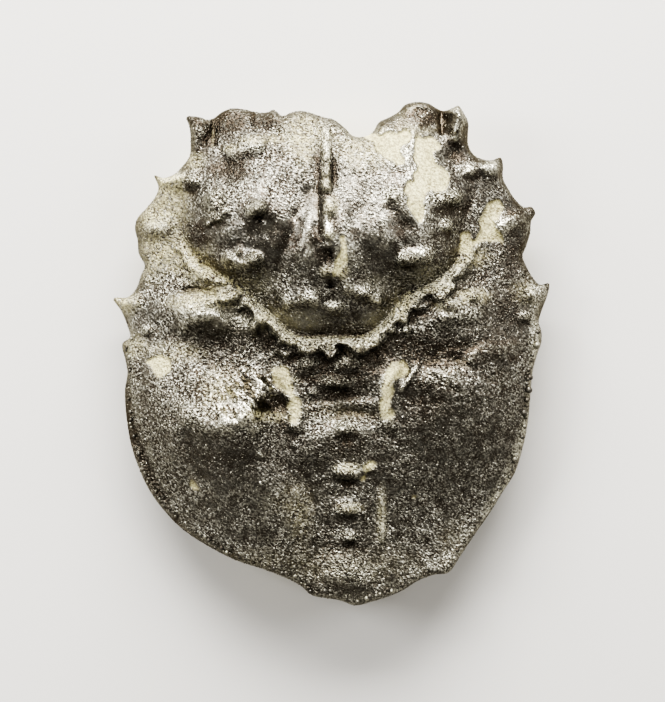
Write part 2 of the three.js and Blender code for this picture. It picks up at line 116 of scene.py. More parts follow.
def smooth_curve(points, per_span, closed=False):
    """Centripetal Catmull-Rom through points, per_span steps in each span."""
    points = np.asarray(points, float)
    before = points[-1:] if closed else 2 * points[:1] - points[1:2]
    after = points[:2] if closed else 2 * points[-1:] - points[-2:-1]
    padded = np.vstack([before, points, after])
    steps = np.arange(per_span)[:, None] / per_span
    traced = []
    for p0, p1, p2, p3 in zip(padded[:-3], padded[1:-2], padded[2:-1], padded[3:]):
        t0 = 0.0
        t1 = t0 + math.sqrt(np.linalg.norm(p1 - p0))
        t2 = t1 + math.sqrt(np.linalg.norm(p2 - p1))
        t3 = t2 + math.sqrt(np.linalg.norm(p3 - p2))
        t = t1 + (t2 - t1) * steps
        a1, a2, a3 = blend(t, t0, t1, p0, p1), blend(t, t1, t2, p1, p2), blend(t, t2, t3, p2, p3)
        traced.append(blend(t, t1, t2, blend(t, t0, t2, a1, a2), blend(t, t1, t3, a2, a3)))
    traced.append(points[:1] if closed else points[-1:])
    return np.vstack(traced)


margin_trace = smooth_curve(MARGIN, 4, closed=True)
margin_length = np.linalg.norm(np.diff(margin_trace, axis=0), axis=1).sum()
print("length of the margin, mm:", round(margin_length, 1))

# %% [markdown]
# ## A height for every point of the back
#
# The back never overhangs, so its shape is one height over each point of the plan. That makes a height map
# the natural tool: a fine grid, and functions that add a dome, a raised field, a ridge, a groove or a knob
# to it. Sculpting by hand would also work, but a function with a named place, reach and height can be
# changed later without undoing the rest.

# %% The plan grid
GRID_STEP = 0.08
HALF_PLAN = (19.0, 21.5)  # a little more than half the shell, in x and in y
grid_x, grid_y = (np.arange(-half, half + GRID_STEP, GRID_STEP) for half in HALF_PLAN)
X, Y = np.meshgrid(grid_x, grid_y)
print("plan grid:", X.shape)


def smoothstep(low, high, value):
    share = np.clip((value - low) / (high - low), 0, 1)
    return share * share * (3 - 2 * share)


def window(low, high):
    """The part of the grid between two corners, so that a local feature costs little."""
    columns = slice(*np.searchsorted(grid_x, (low[0], high[0])))
    rows = slice(*np.searchsorted(grid_y, (low[1], high[1])))
    return rows, columns


# %% Distances in the plan
def nearest_on(trace, x, y):
    """Distance to a traced path, side (+1 left of travel) and share of the way along it."""
    best = np.full(x.shape, np.inf)
    side = np.ones(x.shape)
    along = np.zeros(x.shape)
    lengths = np.linalg.norm(np.diff(trace, axis=0), axis=1)
    reached = np.concatenate([[0], np.cumsum(lengths)])
    for i, length in enumerate(lengths):
        run_x, run_y = trace[i + 1] - trace[i]
        off_x = x - trace[i, 0]
        off_y = y - trace[i, 1]
        share = np.clip((off_x * run_x + off_y * run_y) / length**2, 0, 1)
        off_x = off_x - share * run_x
        off_y = off_y - share * run_y
        squared = off_x**2 + off_y**2
        nearer = squared < best
        best[nearer] = squared[nearer]
        side[nearer] = np.where(run_x * off_y - run_y * off_x < 0, -1, 1)[nearer]
        along[nearer] = (reached[i] + share * length)[nearer] / reached[-1]
    return np.sqrt(best), side, along


def depth_inside(trace, x, y):
    """Distance to a closed path, below zero outside it."""
    inside = np.zeros(x.shape, bool)
    for (x1, y1), (x2, y2) in zip(trace[:-1], trace[1:]):
        if y1 != y2:
            inside ^= ((y1 > y) != (y2 > y)) & (x < (x2 - x1) * (y - y1) / (y2 - y1) + x1)
    distance = nearest_on(trace, x, y)[0]
    return np.where(inside, distance, -distance)


def around(trace, reach):
    """The part of the grid within reach of a path, and its coordinates."""
    part = window(trace.min(0) - reach, trace.max(0) + reach)
    return part, X[part], Y[part]


# %% Softening, noise and soft spots
def blurred(field, reach):
    """The field softened over reach mm, with a separable bell curve."""
    spread = reach / GRID_STEP
    half = int(3 * spread) + 1
    kernel = np.exp(-((np.arange(-half, half + 1) / spread) ** 2) / 2)
    kernel /= kernel.sum()
    for axis in (0, 1):
        padding = [(half, half) if a == axis else (0, 0) for a in (0, 1)]
        padded = np.pad(field, padding, mode="edge")
        size = field.shape[axis]
        field = sum(w * np.take(padded, range(k, k + size), axis) for k, w in enumerate(kernel))
    return field


def plan_noise(seed, size):
    """Smooth noise of about -2 to 2 with features of the given size in mm."""
    values = blurred(np.random.default_rng(seed).normal(size=X.shape), size)
    return values / values.std()


def add_spot(field, x, y, reach_x, reach_y, amount):
    part = window((x - reach_x, y - reach_y), (x + reach_x, y + reach_y))
    share = ((X[part] - x) / reach_x) ** 2 + ((Y[part] - y) / reach_y) ** 2
    field[part] += amount * np.maximum(1 - share, 0) ** 2


def add_spots(field, rows, spread=1):
    """Adds rows of x, y, reach in x, reach in y and amount to a field, each reach times spread."""
    for x, y, reach_x, reach_y, amount in rows:
        add_spot(field, x, y, spread * reach_x, spread * reach_y, amount)
    return field


# %% [markdown]
# ## The dome and the regions of the back
#
# A crab's shell is a low dome divided by grooves into fields, each over one organ: the stomach in front,
# the heart behind the U-shaped neck groove, and the gills on both sides. Each field is a closed ring that
# swells towards its middle. The step between two fields then makes the groove by itself, as it does on the
# animal. All of this is blurred a little at the end, because the real fields meet in rounded valleys.

# %% The dome, mm
HALF_WIDTH = 16.7
FRONT_REACH = 19.8
REAR_REACH = 20.0
EDGE_HEIGHT = 3.0  # of the plain margin over what the fossil lies on
DOME_RISE = 4.5
DOME_LEAN = 0.08  # how much higher it is in front
ROUNDNESS = (2.2, 0.3)  # power of the dome's curve, and what the rear adds to it
STEEPNESS = (0.85, 0.7)  # the same for its flanks
FLARE_FROM = 4


def outward_share(x, y):
    """0 in the middle of the shell, 1 on its smooth margin without spines."""
    across = np.abs(x) / HALF_WIDTH
    front = np.cbrt(across**3 + (np.maximum(y, 0) / FRONT_REACH) ** 3)
    rear = np.hypot(across, np.minimum(y, 0) / REAR_REACH)
    return np.where(y > 0, front, rear)


def quarter_wave(share):
    return np.sin(np.pi / 2 * np.clip(share, 0, 1))


OUT = outward_share(X, Y)
roundness = ROUNDNESS[0] + ROUNDNESS[1] * smoothstep(0, REAR_REACH, -Y)
steepness = STEEPNESS[0] + STEEPNESS[1] * smoothstep(FLARE_FROM, REAR_REACH, -Y)
lean = 1 + DOME_LEAN * Y / FRONT_REACH
plain_dome = EDGE_HEIGHT + DOME_RISE * lean * (1 - np.minimum(OUT, 1) ** roundness) ** steepness
print("dome, mm:", plain_dome.min(), "to", plain_dome.max())

# %% The rings of the regions
NECK_GROOVE = [
    (-10.6, 16.3), (-11.6, 14.7), (-12.1, 12.3), (-12.1, 10.5), (-11.9, 9.2), (-11.4, 8.3), (-10.8, 7.6),
    (-10, 6.85), (-9, 6.35), (-8, 5.9), (-7.2, 5.25), (-6.5, 4.8), (-6, 4.35), (-5.3, 3.6), (-4.5, 2.85),
    (-3.8, 2.2), (-3.2, 1.7), (-2.5, 1.4), (-1, 1.4), (1, 1.4), (2.1, 1.45), (2.9, 1.7), (3.9, 2.4),
    (4.4, 2.9), (4.7, 3.5), (5.2, 4.1), (5.8, 4.75), (6.5, 5.15), (7.4, 5.4), (8.1, 5.75), (9, 6.45),
    (9.7, 7.1), (10, 8), (10.1, 9.2), (10.4, 10.4), (10.8, 11.6), (11.3, 12.9), (11.5, 14.2), (10.8, 15.6),
]
STOMACH_FIELD = NECK_GROOVE + [(10.4, 17.6), (10.5, 24), (-10.2, 24), (-9.9, 18.2)]
LEFT_GILL_FIELD = [
    (-24, 1.4), (-16.5, 1.2), (-14.6, 0.9), (-12.2, 0.6), (-10.6, -0.3), (-9, -1), (-7.2, -1.3), (-6, -1.1),
    (-5, -1.4), (-4.2, -2.4), (-3.7, -3.6), (-3.5, -5.2), (-3.3, -6.9), (-2.8, -8.7), (-2, -10.9),
    (-1.6, -13.3), (-1.8, -15.7), (-2.2, -30), (-24, -30),
]
RIGHT_GILL_FIELD = [
    (24, 2.8), (16.7, 2.3), (15, 1.4), (12.6, 1), (11, 0.6), (10, -0.3), (7.8, -0.8), (6.4, -1),
    (5.5, -1.9), (5, -3.3), (4.7, -4.8), (4.8, -6.2), (4.7, -8), (4.4, -10), (4.3, -12.5), (4.2, -15.3),
    (4.6, -30), (24, -30),
]
LEFT_SHOULDER = [
    (-24, 5.4), (-17, 5.2), (-14.5, 5), (-12.6, 5.2), (-10.8, 5.5), (-9, 5.1), (-7.6, 4.3), (-6.2, 3),
    (-5.6, 1.6), (-6.4, 0.9), (-8.4, 1.5), (-11, 2.2), (-14, 2.4), (-24, 2.8),
]
RIGHT_SHOULDER = [
    (24, 6.2), (17, 5.6), (14.5, 5), (12.2, 5.3), (10.4, 5.8), (8.8, 5.3), (7.4, 4.5), (6.4, 3.4),
    (6.1, 1.8), (7, 1), (9, 1.7), (11, 2.6), (14, 3), (24, 3.9),
]
print("points of the neck groove:", len(NECK_GROOVE))

# %% How far each region rises
REGIONS = [  # ring, height, how far in from its edge it is reached
    (STOMACH_FIELD, 2.4, 5.6), (LEFT_GILL_FIELD, 2.4, 5.0), (RIGHT_GILL_FIELD, 0.3, 1.0),
    (LEFT_SHOULDER, 0.5, 1.8), (RIGHT_SHOULDER, 0.5, 1.8),
]
REGION_SOFTNESS = 0.5


def region_rise(ring, height, run):
    inward = depth_inside(smooth_curve(ring, 4, closed=True), X, Y)
    eased = (inward + np.hypot(inward, REGION_SOFTNESS)) / 2
    return height * quarter_wave(eased / run)


fields = sum(region_rise(*region) for region in REGIONS)
print("regions add up to, mm:", round(fields.max(), 2))

# %% Swellings and hollows inside the regions
SWELLINGS = [  # x, y, reach in x, reach in y, height
    # stomach field: its two bosses, the middle between them, valleys and the low rear
    (-6.4, 9.4, 5, 5, 0.8), (6.6, 9.6, 5, 5, 1.0), (-7.2, 6.5, 2.6, 1.8, 0.2), (6.6, 6.9, 2.2, 1.7, 0.15),
    (-7.4, 10.2, 1, 2.4, -0.25), (0.4, 9, 6, 5, 1.5), (0.4, 6, 4, 2.6, -0.1), (5.5, 10, 1.8, 1.3, -0.45),
    (-5, 9.7, 2, 1.4, -0.35),
    # heart field: the hollow before it and its plateau
    (0.8, -4.2, 4, 2.6, -0.7), (0.2, -6.8, 4.4, 3, 0.55), (-2.2, -7.4, 1.6, 2.2, 0.3),
    (0.8, -12.2, 3.4, 3.4, 0.4), (-4.6, -3.95, 1.6, 1.1, -0.7), (6.6, -3.4, 2.4, 2, -0.4),
    # gill fields
    (-14, -7, 3.4, 6, 0.9), (-8, -6.2, 4.4, 3, 0.4), (10.5, -2.5, 7, 8, 0.8), (9.8, -0.6, 7, 2.6, -0.6),
    (3.8, -2.6, 2, 3, 0.3),
    # shoulders
    (11.1, 5.9, 1.3, 0.7, -0.35), (-11.4, 3.6, 4.4, 4, 0.7),
]
FIELD_BLUR = 0.35
EDGE_FALL = 0.4  # share of the way out over which the fields fade to the margin
add_spots(fields, SWELLINGS)
broad = blurred(plain_dome + fields * quarter_wave((1 - OUT) / EDGE_FALL), FIELD_BLUR)
print("broad form, mm:", round(broad.min(), 2), "to", round(broad.max(), 2))

# %% [markdown]
# ## Ridges, grooves, the wall and the knobs
#
# On top of the soft fields come the crisp features. Two short rims frame the heart, a knobbly keel runs
# down the middle of the stomach field, and lobes swell over the eyes. A ridge is a bell curve across a
# path, with its two flanks set apart, because a rim that faces a groove is broad on one side and drops
# steeply on the other. A groove is a ridge with its height below zero.
#
# Behind the neck groove stands a wall. It starts at the groove, is about a millimetre broad and breaks off
# raggedly at its far side, so it is worked out from the distance to the groove and some noise. Last come
# the blunt knobs, in pairs, each with a small hollow behind it.

# %% Ridges and grooves
HEART_RIM = [(-4.8, -1), (-4.1, -1.8), (-3.6, -2.6), (-3.15, -3.5), (-2.95, -4.4), (-2.9, -6.4)]
RIDGES = [  # path, left flank, right flank, height, share that tapers at each end
    # neck groove
    (NECK_GROOVE[1:-1], 0.5, 0.2, -0.12, 0.08),
    # rims beside the heart, with a thin second rim outside each
    (HEART_RIM, 0.55, 0.5, 0.6, 0.12),
    ([(-6.6, -1.1), (-5.6, -2.1), (-4.9, -2.9), (-4.1, -3.3)], 0.22, 0.22, 0.3, 0.15),
    ([(5.6, -0.8), (4.8, -1.5), (4.4, -2.4), (4.2, -3.3), (4.25, -4.6), (4.5, -6.4)], 0.5, 0.55, 0.6, 0.12),
    ([(6.9, -0.7), (6.3, -1.5), (5.8, -2.3), (5.2, -3.1)], 0.24, 0.24, 0.35, 0.15),
    # fronts of the gill fields: one long and smooth, one short and steep
    ([(-13.6, -4.4), (-11, -5), (-8.8, -5.2), (-6.8, -5.5), (-5, -6.4)], 2.2, 1.2, 0.8, 0.25),
    ([(7, -1.1), (8.1, -1.5), (9.3, -1.5), (10.4, -1), (11.2, 0), (12.1, 0.5), (13.5, 0.4),
     (15, 0.9)], 0.35, 1.3, 0.3, 0.12),
    # crests of the shoulder fields, and the narrow furrow before each
    ([(-12.9, 2.5), (-11.4, 2.8), (-9.9, 2.8), (-8.7, 2.5), (-7.9, 2.7)], 1.0, 1.0, 0.7, 0.25),
    ([(-12.4, 4.9), (-10.8, 5.1), (-9.7, 4.85), (-8.5, 4.9)], 0.22, 0.28, -0.35, 0.25),
    ([(7.7, 3.6), (8.8, 3.2), (10.2, 3.2), (11.4, 3.4), (12.6, 3.6)], 0.8, 0.9, 0.5, 0.25),
    ([(8.9, 4.95), (10, 4.9), (11.4, 5)], 0.2, 0.2, -0.2, 0.25),
    # keel of the stomach field between two furrows
    ([(-0.5, 18.4), (-0.5, 14), (-0.4, 11), (-0.3, 9)], 0.42, 0.42, 0.3, 0.06),
    ([(-1.1, 17.4), (-1.25, 14.6), (-1.05, 12), (-1.2, 9.4), (-0.9, 6.2)], 0.4, 0.4, -0.3, 0.2),
    ([(0.1, 15.8), (0.15, 14), (0.2, 12.4)], 0.25, 0.25, -0.3, 0.25),
    ([(-0.4, 8.4), (-0.35, 7.4), (-0.2, 6.7)], 0.4, 0.4, -0.5, 0.3),
    # crests across the rear of the stomach field
    ([(-9.2, 6.5), (-8.1, 7), (-6.9, 7.1), (-5.3, 6.5)], 0.75, 0.6, 0.75, 0.25),
    ([(4.7, 7.2), (5.8, 7.3), (7.2, 7.6), (8.2, 7.5)], 0.7, 0.6, 0.65, 0.25),
    ([(-4.1, 3.5), (-3.1, 3.9), (-1.7, 3.9), (-0.7, 3.7)], 1.3, 0.4, 0.4, 0.2),
    ([(0.4, 4.8), (1.5, 4.9), (2.8, 4.4), (4.2, 3.8)], 0.9, 0.4, 0.5, 0.2),
    ([(-5.2, 4.6), (-4.3, 6.4), (-3.4, 8.6), (-2.6, 11), (-2, 13.5)], 0.9, 0.9, -0.3, 0.3),
    ([(5, 5), (3.9, 6.4), (2.9, 8.6), (2.2, 11), (1.8, 13.5)], 0.9, 0.9, -0.3, 0.3),
    # brow: the swollen rim over each eye and the two fissures in it
    ([(-8.6, 15.3), (-7.6, 15.95), (-6.4, 16.35), (-4.8, 16.3)], 0.6, 0.7, 0.55, 0.25),
    ([(-9.5, 18.9), (-9.5, 17.4), (-9.4, 16.2)], 0.3, 0.15, -0.25, 0.2),
    ([(-6.3, 19.4), (-6.3, 18.6), (-6.3, 17.8)], 0.18, 0.18, -0.25, 0.1),
    ([(8.7, 19.4), (8.6, 18.4), (8.7, 17.2)], 0.18, 0.18, -0.25, 0.1),
    # heart: edges of the crystals on its knobs
    ([(0.5, -0.6), (0.2, -1.2), (-0.1, -1.6), (0.4, -1.6)], 0.12, 0.12, 0.22, 0.1),
    ([(2, -0.5), (2.1, -1), (2.3, -1.5), (1.9, -1.65)], 0.12, 0.12, 0.2, 0.1),
    ([(-2.6, -1), (-2.3, -0.4), (-1.7, -0.3)], 0.12, 0.12, 0.15, 0.1),
    ([(-6.3, 2.5), (-6.1, 1.9), (-6, 1.2)], 0.2, 0.15, 0.35, 0.2),
    ([(-5.7, 2.8), (-5.5, 2.3), (-5.4, 1.9)], 0.15, 0.15, 0.25, 0.2),
    # rear: the front of the heart plateau, a low pair of lines and a crack
    ([(-3, -4.4), (-1, -4.2), (1.4, -3.9), (4, -3.9)], 0.3, 0.6, 0.25, 0.1),
    ([(3.6, -10.4), (4, -12.2), (3.9, -15.4)], 0.22, 0.22, 0.3, 0.15),
    ([(-3.2, -10.4), (-2, -12.6), (-1.2, -15.4)], 0.5, 0.5, 0.25, 0.2),
    ([(-4.1, -6.6), (-3.5, -8), (-2.7, -9.8)], 0.1, 0.1, 0.12, 0.1),
]
print("ridges and grooves:", len(RIDGES))

# %% Ridges that run in from the spines, and the lobes over the eyes
SPINE_RIDGES = [  # tip, middle, root, height
    ((-11.5, 18.6), (-11.2, 17.2), (-10.8, 15.2), 0.4), ((-14.2, 14.2), (-12.9, 13.9), (-11.4, 13.8), 0.5),
    ((-15.7, 10.4), (-14.2, 10.2), (-12.4, 9.9), 0.55), ((-17.5, 4.4), (-16.4, 4.2), (-15, 4.1), 0.5),
    ((10, 19.6), (9.9, 18), (9.6, 15.6), 0.45), ((13.4, 15.6), (12.6, 14.8), (11.6, 14), 0.5),
    ((16.2, 11.2), (14.6, 10.4), (12.4, 9.5), 0.6), ((17.3, 5.6), (16.4, 4.9), (15.2, 4.5), 0.5),
]
BROW = [  # lobes over the eyes, with the hollows behind them
    (-7.6, 19.4, 2.8, 2.8, 0.5), (-4, 19.3, 2.2, 2.4, 0.4), (6.9, 19.7, 2.6, 2.8, 0.5),
    (1.6, 18.4, 2, 2.4, 0.35), (-10.6, 19.1, 1.5, 3.1, 1.4), (9.9, 19.5, 1.3, 3.2, 1.4),
    (-7, 16.9, 2.4, 1.8, 0.3), (-8.3, 14.2, 1.8, 2.2, -0.35), (9.6, 15.6, 1.6, 1.6, -0.3),
    (-1.9, 12.4, 1.6, 2, -0.15),
]
SPINE_FLANK = 0.75
SPINE_TAPER = 0.35
RIDGE_REACH = 3  # flank widths at which a ridge has died away


def add_ridge(field, path, left_flank, right_flank, height, taper):
    trace = smooth_curve(path, 5)
    part, x, y = around(trace, RIDGE_REACH * max(left_flank, right_flank))
    distance, side, along = nearest_on(trace, x, y)
    flank = np.where(side > 0, left_flank, right_flank)
    ends = smoothstep(0, taper, along) * smoothstep(0, taper, 1 - along)
    field[part] += height * np.exp(-((distance / flank) ** 2)) * ends


crisp = np.zeros(X.shape)
for ridge in RIDGES:
    add_ridge(crisp, *ridge)
for *path, height in SPINE_RIDGES:
    add_ridge(crisp, path, SPINE_FLANK, SPINE_FLANK, height, SPINE_TAPER)
add_spots(crisp, BROW)
print("ridges, mm:", round(crisp.min(), 2), "to", round(crisp.max(), 2))

# %% The wall behind the neck groove
WALL_WIDTH = 0.85
WALL_HEIGHT = 0.95
WALL_FALL = 0.5  # how gently it drops at its far side
WALL_ENDS = (0.12, 0.24)  # shares of the groove's length where the wall starts and is full
WALL_EDGES = (0.1, 0.15)  # how softly it counts as wall, at the groove and at its far side
WALL_RAGGEDNESS = 0.3
ragged = plan_noise(seed=11, size=0.28)
from_groove, groove_side, along_groove = nearest_on(smooth_curve(NECK_GROOVE[1:-1], 4), X, Y)
behind = np.where(groove_side < 0, from_groove, 0)
beyond = np.maximum(behind + WALL_RAGGEDNESS * ragged - WALL_WIDTH, 0)
wall_share = smoothstep(*WALL_ENDS, along_groove) * smoothstep(*WALL_ENDS, 1 - along_groove)
wall = quarter_wave(behind / WALL_WIDTH) * np.exp(-((beyond / WALL_FALL) ** 2)) * wall_share
on_wall = smoothstep(0, WALL_EDGES[0], behind) * smoothstep(WALL_EDGES[1], 0, beyond) * wall_share
crisp += WALL_HEIGHT * wall
print("wall, mm:", round(WALL_HEIGHT * wall.max(), 2))

# %% Knobs
KNOBS = [  # x, y, reach in x, reach in y, height
    (-9.2, 12, 0.75, 0.7, 0.4), (-9, 11, 0.7, 0.6, 0.5), (-9.6, 12.3, 0.25, 0.3, 0.3),
    (-9, 12.6, 0.25, 0.25, 0.3), (-8.5, 12.1, 0.25, 0.35, 0.3), (-9.2, 11.5, 0.3, 0.25, 0.35),
    (-8.4, 11.1, 0.25, 0.3, 0.3), (-9.1, 10.5, 0.35, 0.25, 0.4), (-9.8, 10.2, 0.25, 0.25, 0.3),
    (-5.9, 11.2, 0.65, 0.65, 0.9), (-5.7, 10.6, 0.3, 0.28, -0.4), (-8.2, 7.5, 0.45, 0.4, 0.7),
    (-7.3, 7.9, 0.3, 0.3, 0.4), (-6.1, 7.3, 0.55, 0.45, 0.85), (-11.1, 13.6, 0.55, 0.55, 0.7),
    (4.7, 12.2, 0.7, 0.7, 0.6), (8.5, 12.1, 0.8, 0.7, 0.7), (9.6, 12.3, 0.55, 0.55, 0.8),
    (9, 10, 0.5, 0.5, 0.55), (5.8, 7.3, 0.6, 0.45, 0.85), (7.3, 7.6, 0.7, 0.5, 0.2),
    (10.9, 14.5, 0.6, 0.5, 0.7), (-0.5, 15.3, 0.3, 0.6, 0.2), (-0.5, 14.1, 0.3, 0.3, 0.3),
    (-0.5, 13, 0.4, 0.4, 0.4), (-0.2, 11.2, 0.4, 0.5, 0.35), (-0.4, 9.2, 0.4, 0.35, 0.4),
    (-0.2, 6.3, 0.45, 0.4, 0.5), (-0.15, 5.3, 0.3, 0.3, -0.5), (-2.1, 4.3, 0.5, 0.4, 0.35),
    (0.1, 3.5, 0.75, 0.5, 0.35), (2.4, 4.7, 0.6, 0.4, 0.3), (-1.8, -0.9, 0.8, 0.7, 0.45),
    (1.2, -0.9, 1, 0.7, 0.5), (1.9, 0.1, 0.4, 0.3, 0.3), (0.4, -2.3, 1.1, 0.5, 0.5),
    (-1.5, -3.1, 0.25, 0.25, 0.3), (1.1, -5.9, 0.8, 0.6, 0.6), (1.2, -9.4, 0.85, 0.6, 1.0),
    (2.8, -9, 0.5, 0.4, 0.4), (1.2, -12.4, 0.8, 0.5, 0.9), (1.4, -14.6, 0.6, 0.45, 0.5),
    (1.4, -17.4, 1.7, 1.3, 0.35), (-9.6, 4.1, 0.8, 0.5, 0.35), (-6.2, 2.0, 0.35, 0.4, 0.35),
    (9.2, 3.8, 0.8, 0.4, 0.35), (11.2, 4.5, 0.55, 0.4, 0.45), (15.3, 2.9, 0.5, 0.4, 0.4),
    (-14.8, 1.8, 0.5, 0.35, 0.35), (-5.6, -8, 0.3, 0.25, 0.2),
]
KNOB_LIFT = 1.15
KNOB_REACH = 4
SKIRT_HEIGHT, SKIRT_WIDTH = 0.7, 1.1
TIP_HEIGHT, TIP_STEEPNESS, TIP_BLUNTNESS = 0.9, 2.3, 0.04
KNOB_HOLLOW = (-1.3, 1.4, 1.2, -0.3)  # shift in y and reach in x and y, as shares of the knob's; depth
CRISP_VARIATION = 0.22


def add_knob(field, x, y, reach_x, reach_y, height):
    """A broad low skirt with a small blunt tip."""
    far_x, far_y = KNOB_REACH * reach_x, KNOB_REACH * reach_y
    part = window((x - far_x, y - far_y), (x + far_x, y + far_y))
    share = ((X[part] - x) / reach_x) ** 2 + ((Y[part] - y) / reach_y) ** 2
    skirt = SKIRT_HEIGHT * np.exp(-share / SKIRT_WIDTH)
    tip = TIP_HEIGHT * np.exp(-TIP_STEEPNESS * np.sqrt(share + TIP_BLUNTNESS))
    field[part] += KNOB_LIFT * height * (skirt + tip)


def add_beside_knob(field, knob, share, shift, wide, long, amount):
    """A soft spot in front of a knob or behind it."""
    x, y, reach_x, reach_y, _ = knob
    add_spot(field, x, y + shift * reach_y, wide * reach_x, long * reach_y, amount * share)


for knob in KNOBS:
    add_knob(crisp, *knob)
    add_beside_knob(crisp, knob, knob[-1], *KNOB_HOLLOW)
crisp *= 1 + CRISP_VARIATION * plan_noise(seed=21, size=0.45)
print("ridges and knobs, mm:", round(crisp.min(), 2), "to", round(crisp.max(), 2))

# %% [markdown]
# ## Bare patches and small unevenness
#
# In places the shell has flaked off the rock. The pale rock lies a fifth of a millimetre deeper, and the
# edge of the remaining shell is crisp and ragged. Each patch is a closed ring, and some seeded noise on
# its distance makes the edge ragged. The same kind of noise, blurred to a few sizes, keeps the rest of the
# shell from looking machined, and it is strongest on the wall and beside the heart.

# %% Where the shell has flaked off
BARE_PATCHES = [
    [(2.7, 17.1), (4, 17.4), (5.5, 17.5), (6.2, 17.3), (6.1, 16.6), (5.3, 16.2), (5.5, 15), (4.9, 14.8),
     (4.2, 15.3), (3.4, 15.9), (3.1, 16.6)],
    [(6.4, 17.4), (7.2, 17.2), (8, 17), (8.5, 16.2), (8, 15.8), (7.9, 15), (8.6, 14.6), (9.2, 13.6),
     (9.1, 13.2), (8.4, 12.8), (7.4, 12.4), (7.2, 11.6), (7.3, 10.9), (6.8, 10.1), (6.2, 10.8),
     (5.9, 11.4), (6, 12.3), (5.7, 12.8), (6, 13.3), (6.45, 13.8), (6.45, 15.9)],
    [(13.2, 12.3), (12.6, 11.9), (12, 11.1), (11.6, 10.5), (11.6, 9.7), (11.2, 9.2), (10.7, 9.6),
     (10.3, 9.4), (10.1, 8.7), (10.2, 8), (10.7, 7.9), (11.4, 8.3), (12.2, 8.8), (13.2, 9), (13.6, 8.7),
     (13.4, 9.5), (13, 10.2), (13.3, 11.1), (13.3, 11.9)],
    [(-14.8, -0.7), (-13.8, -0.1), (-13, -0.4), (-13, -1.3), (-13.8, -1.8), (-14.6, -1)],
    [(0.8, 9.1), (1.2, 8.3), (1, 7.3), (0.4, 6.3), (0, 6), (0.3, 7.3), (0.5, 8.4)],
    [(2.6, -8.7), (3.2, -8.5), (3, -9.2), (2.4, -10)],
    [(6.3, -11.1), (6.7, -11.2), (6.8, -11.5), (6.3, -11.5)],
    [(-11.1, -10.1), (-10.9, -10.5), (-10.3, -10.8), (-10.4, -11), (-11, -10.7)],
]
PALE_RIMS = [  # path, half width at its start and at its end
    ([(-4.6, -1.3), (-4.1, -1.8), (-3.6, -2.6), (-3.2, -3.4), (-3, -4.2), (-3.05, -5.3)], 0.62, 0.3),
    ([(5.5, -1.05), (4.8, -1.55), (4.4, -2.4), (4.15, -3.3), (4.2, -4), (4.3, -4.9)], 0.62, 0.22),
]
print("bare patches:", len(BARE_PATCHES), "and pale rims:", len(PALE_RIMS))

# %% Masks of the bare rock
FLAKE_DEPTH = 0.2
FLAKE_EDGE = 0.06  # half the width over which shell turns into rock
FLAKE_RAGGEDNESS = 0.12
PATCH_REACH = 1.0
RIM_REACH = 1.5
RIM_EDGE = (0.12, -0.1)
RIM_TIP = 0.45  # how wide a rim is at its very start, as a share
RIM_NARROWS = (0.15, 0.8)
RIM_RAGGEDNESS = 1.3 * FLAKE_RAGGEDNESS


def patch_mask(ring):
    """1 on the bare rock inside a ring, 0 on the shell."""
    trace = smooth_curve(ring, 3, closed=True)
    part, x, y = around(trace, PATCH_REACH)
    mask = np.zeros(X.shape)
    inward = depth_inside(trace, x, y) + FLAKE_RAGGEDNESS * ragged[part]
    mask[part] = smoothstep(-FLAKE_EDGE, FLAKE_EDGE, inward)
    return mask


def rim_mask(path, start_width, end_width):
    """1 on the bare rock along a rim, which narrows from its start to its end."""
    trace = smooth_curve(path, 4)
    part, x, y = around(trace, RIM_REACH)
    distance, _, along = nearest_on(trace, x, y)
    width = start_width + (end_width - start_width) * smoothstep(*RIM_NARROWS, along)
    width = width * (RIM_TIP + (1 - RIM_TIP) * smoothstep(0, RIM_NARROWS[0], along))
    mask = np.zeros(X.shape)
    mask[part] = smoothstep(*RIM_EDGE, distance - width + RIM_RAGGEDNESS * ragged[part])
    return mask


bare = np.max([patch_mask(ring) for ring in BARE_PATCHES] + [rim_mask(*rim) for rim in PALE_RIMS], axis=0)
print("bare rock, share of the plan:", round(float(bare.mean()), 3))

# %% Seeded unevenness
ROUGH_BANDS = [HEART_RIM, [(-4, -0.4), (0, -0.8), (4, -0.6)]]
ROUGH_REACH = (1.3, 0.5)  # distances at which the roughness starts and is full
ROUGH_BEHIND_GROOVE = (1.6, 0.8)
UNEVENNESS = 0.02
ROUGHEST = 0.07
BARE_SMOOTHNESS = 0.5
uneven = UNEVENNESS * plan_noise(seed=12, size=0.9) + UNEVENNESS * plan_noise(seed=13, size=0.25)
rough_band = wall_share * smoothstep(*ROUGH_BEHIND_GROOVE, from_groove) * (groove_side < 0)
for path in ROUGH_BANDS:
    from_band = nearest_on(smooth_curve(path, 3), X, Y)[0]
    rough_band = np.maximum(rough_band, smoothstep(*ROUGH_REACH, from_band))
uneven += ROUGHEST * rough_band * plan_noise(seed=14, size=0.22)
relief = broad + crisp + uneven * (1 - BARE_SMOOTHNESS * bare) - FLAKE_DEPTH * bare
print("unevenness, mm:", round(float(np.abs(uneven).mean()), 3))
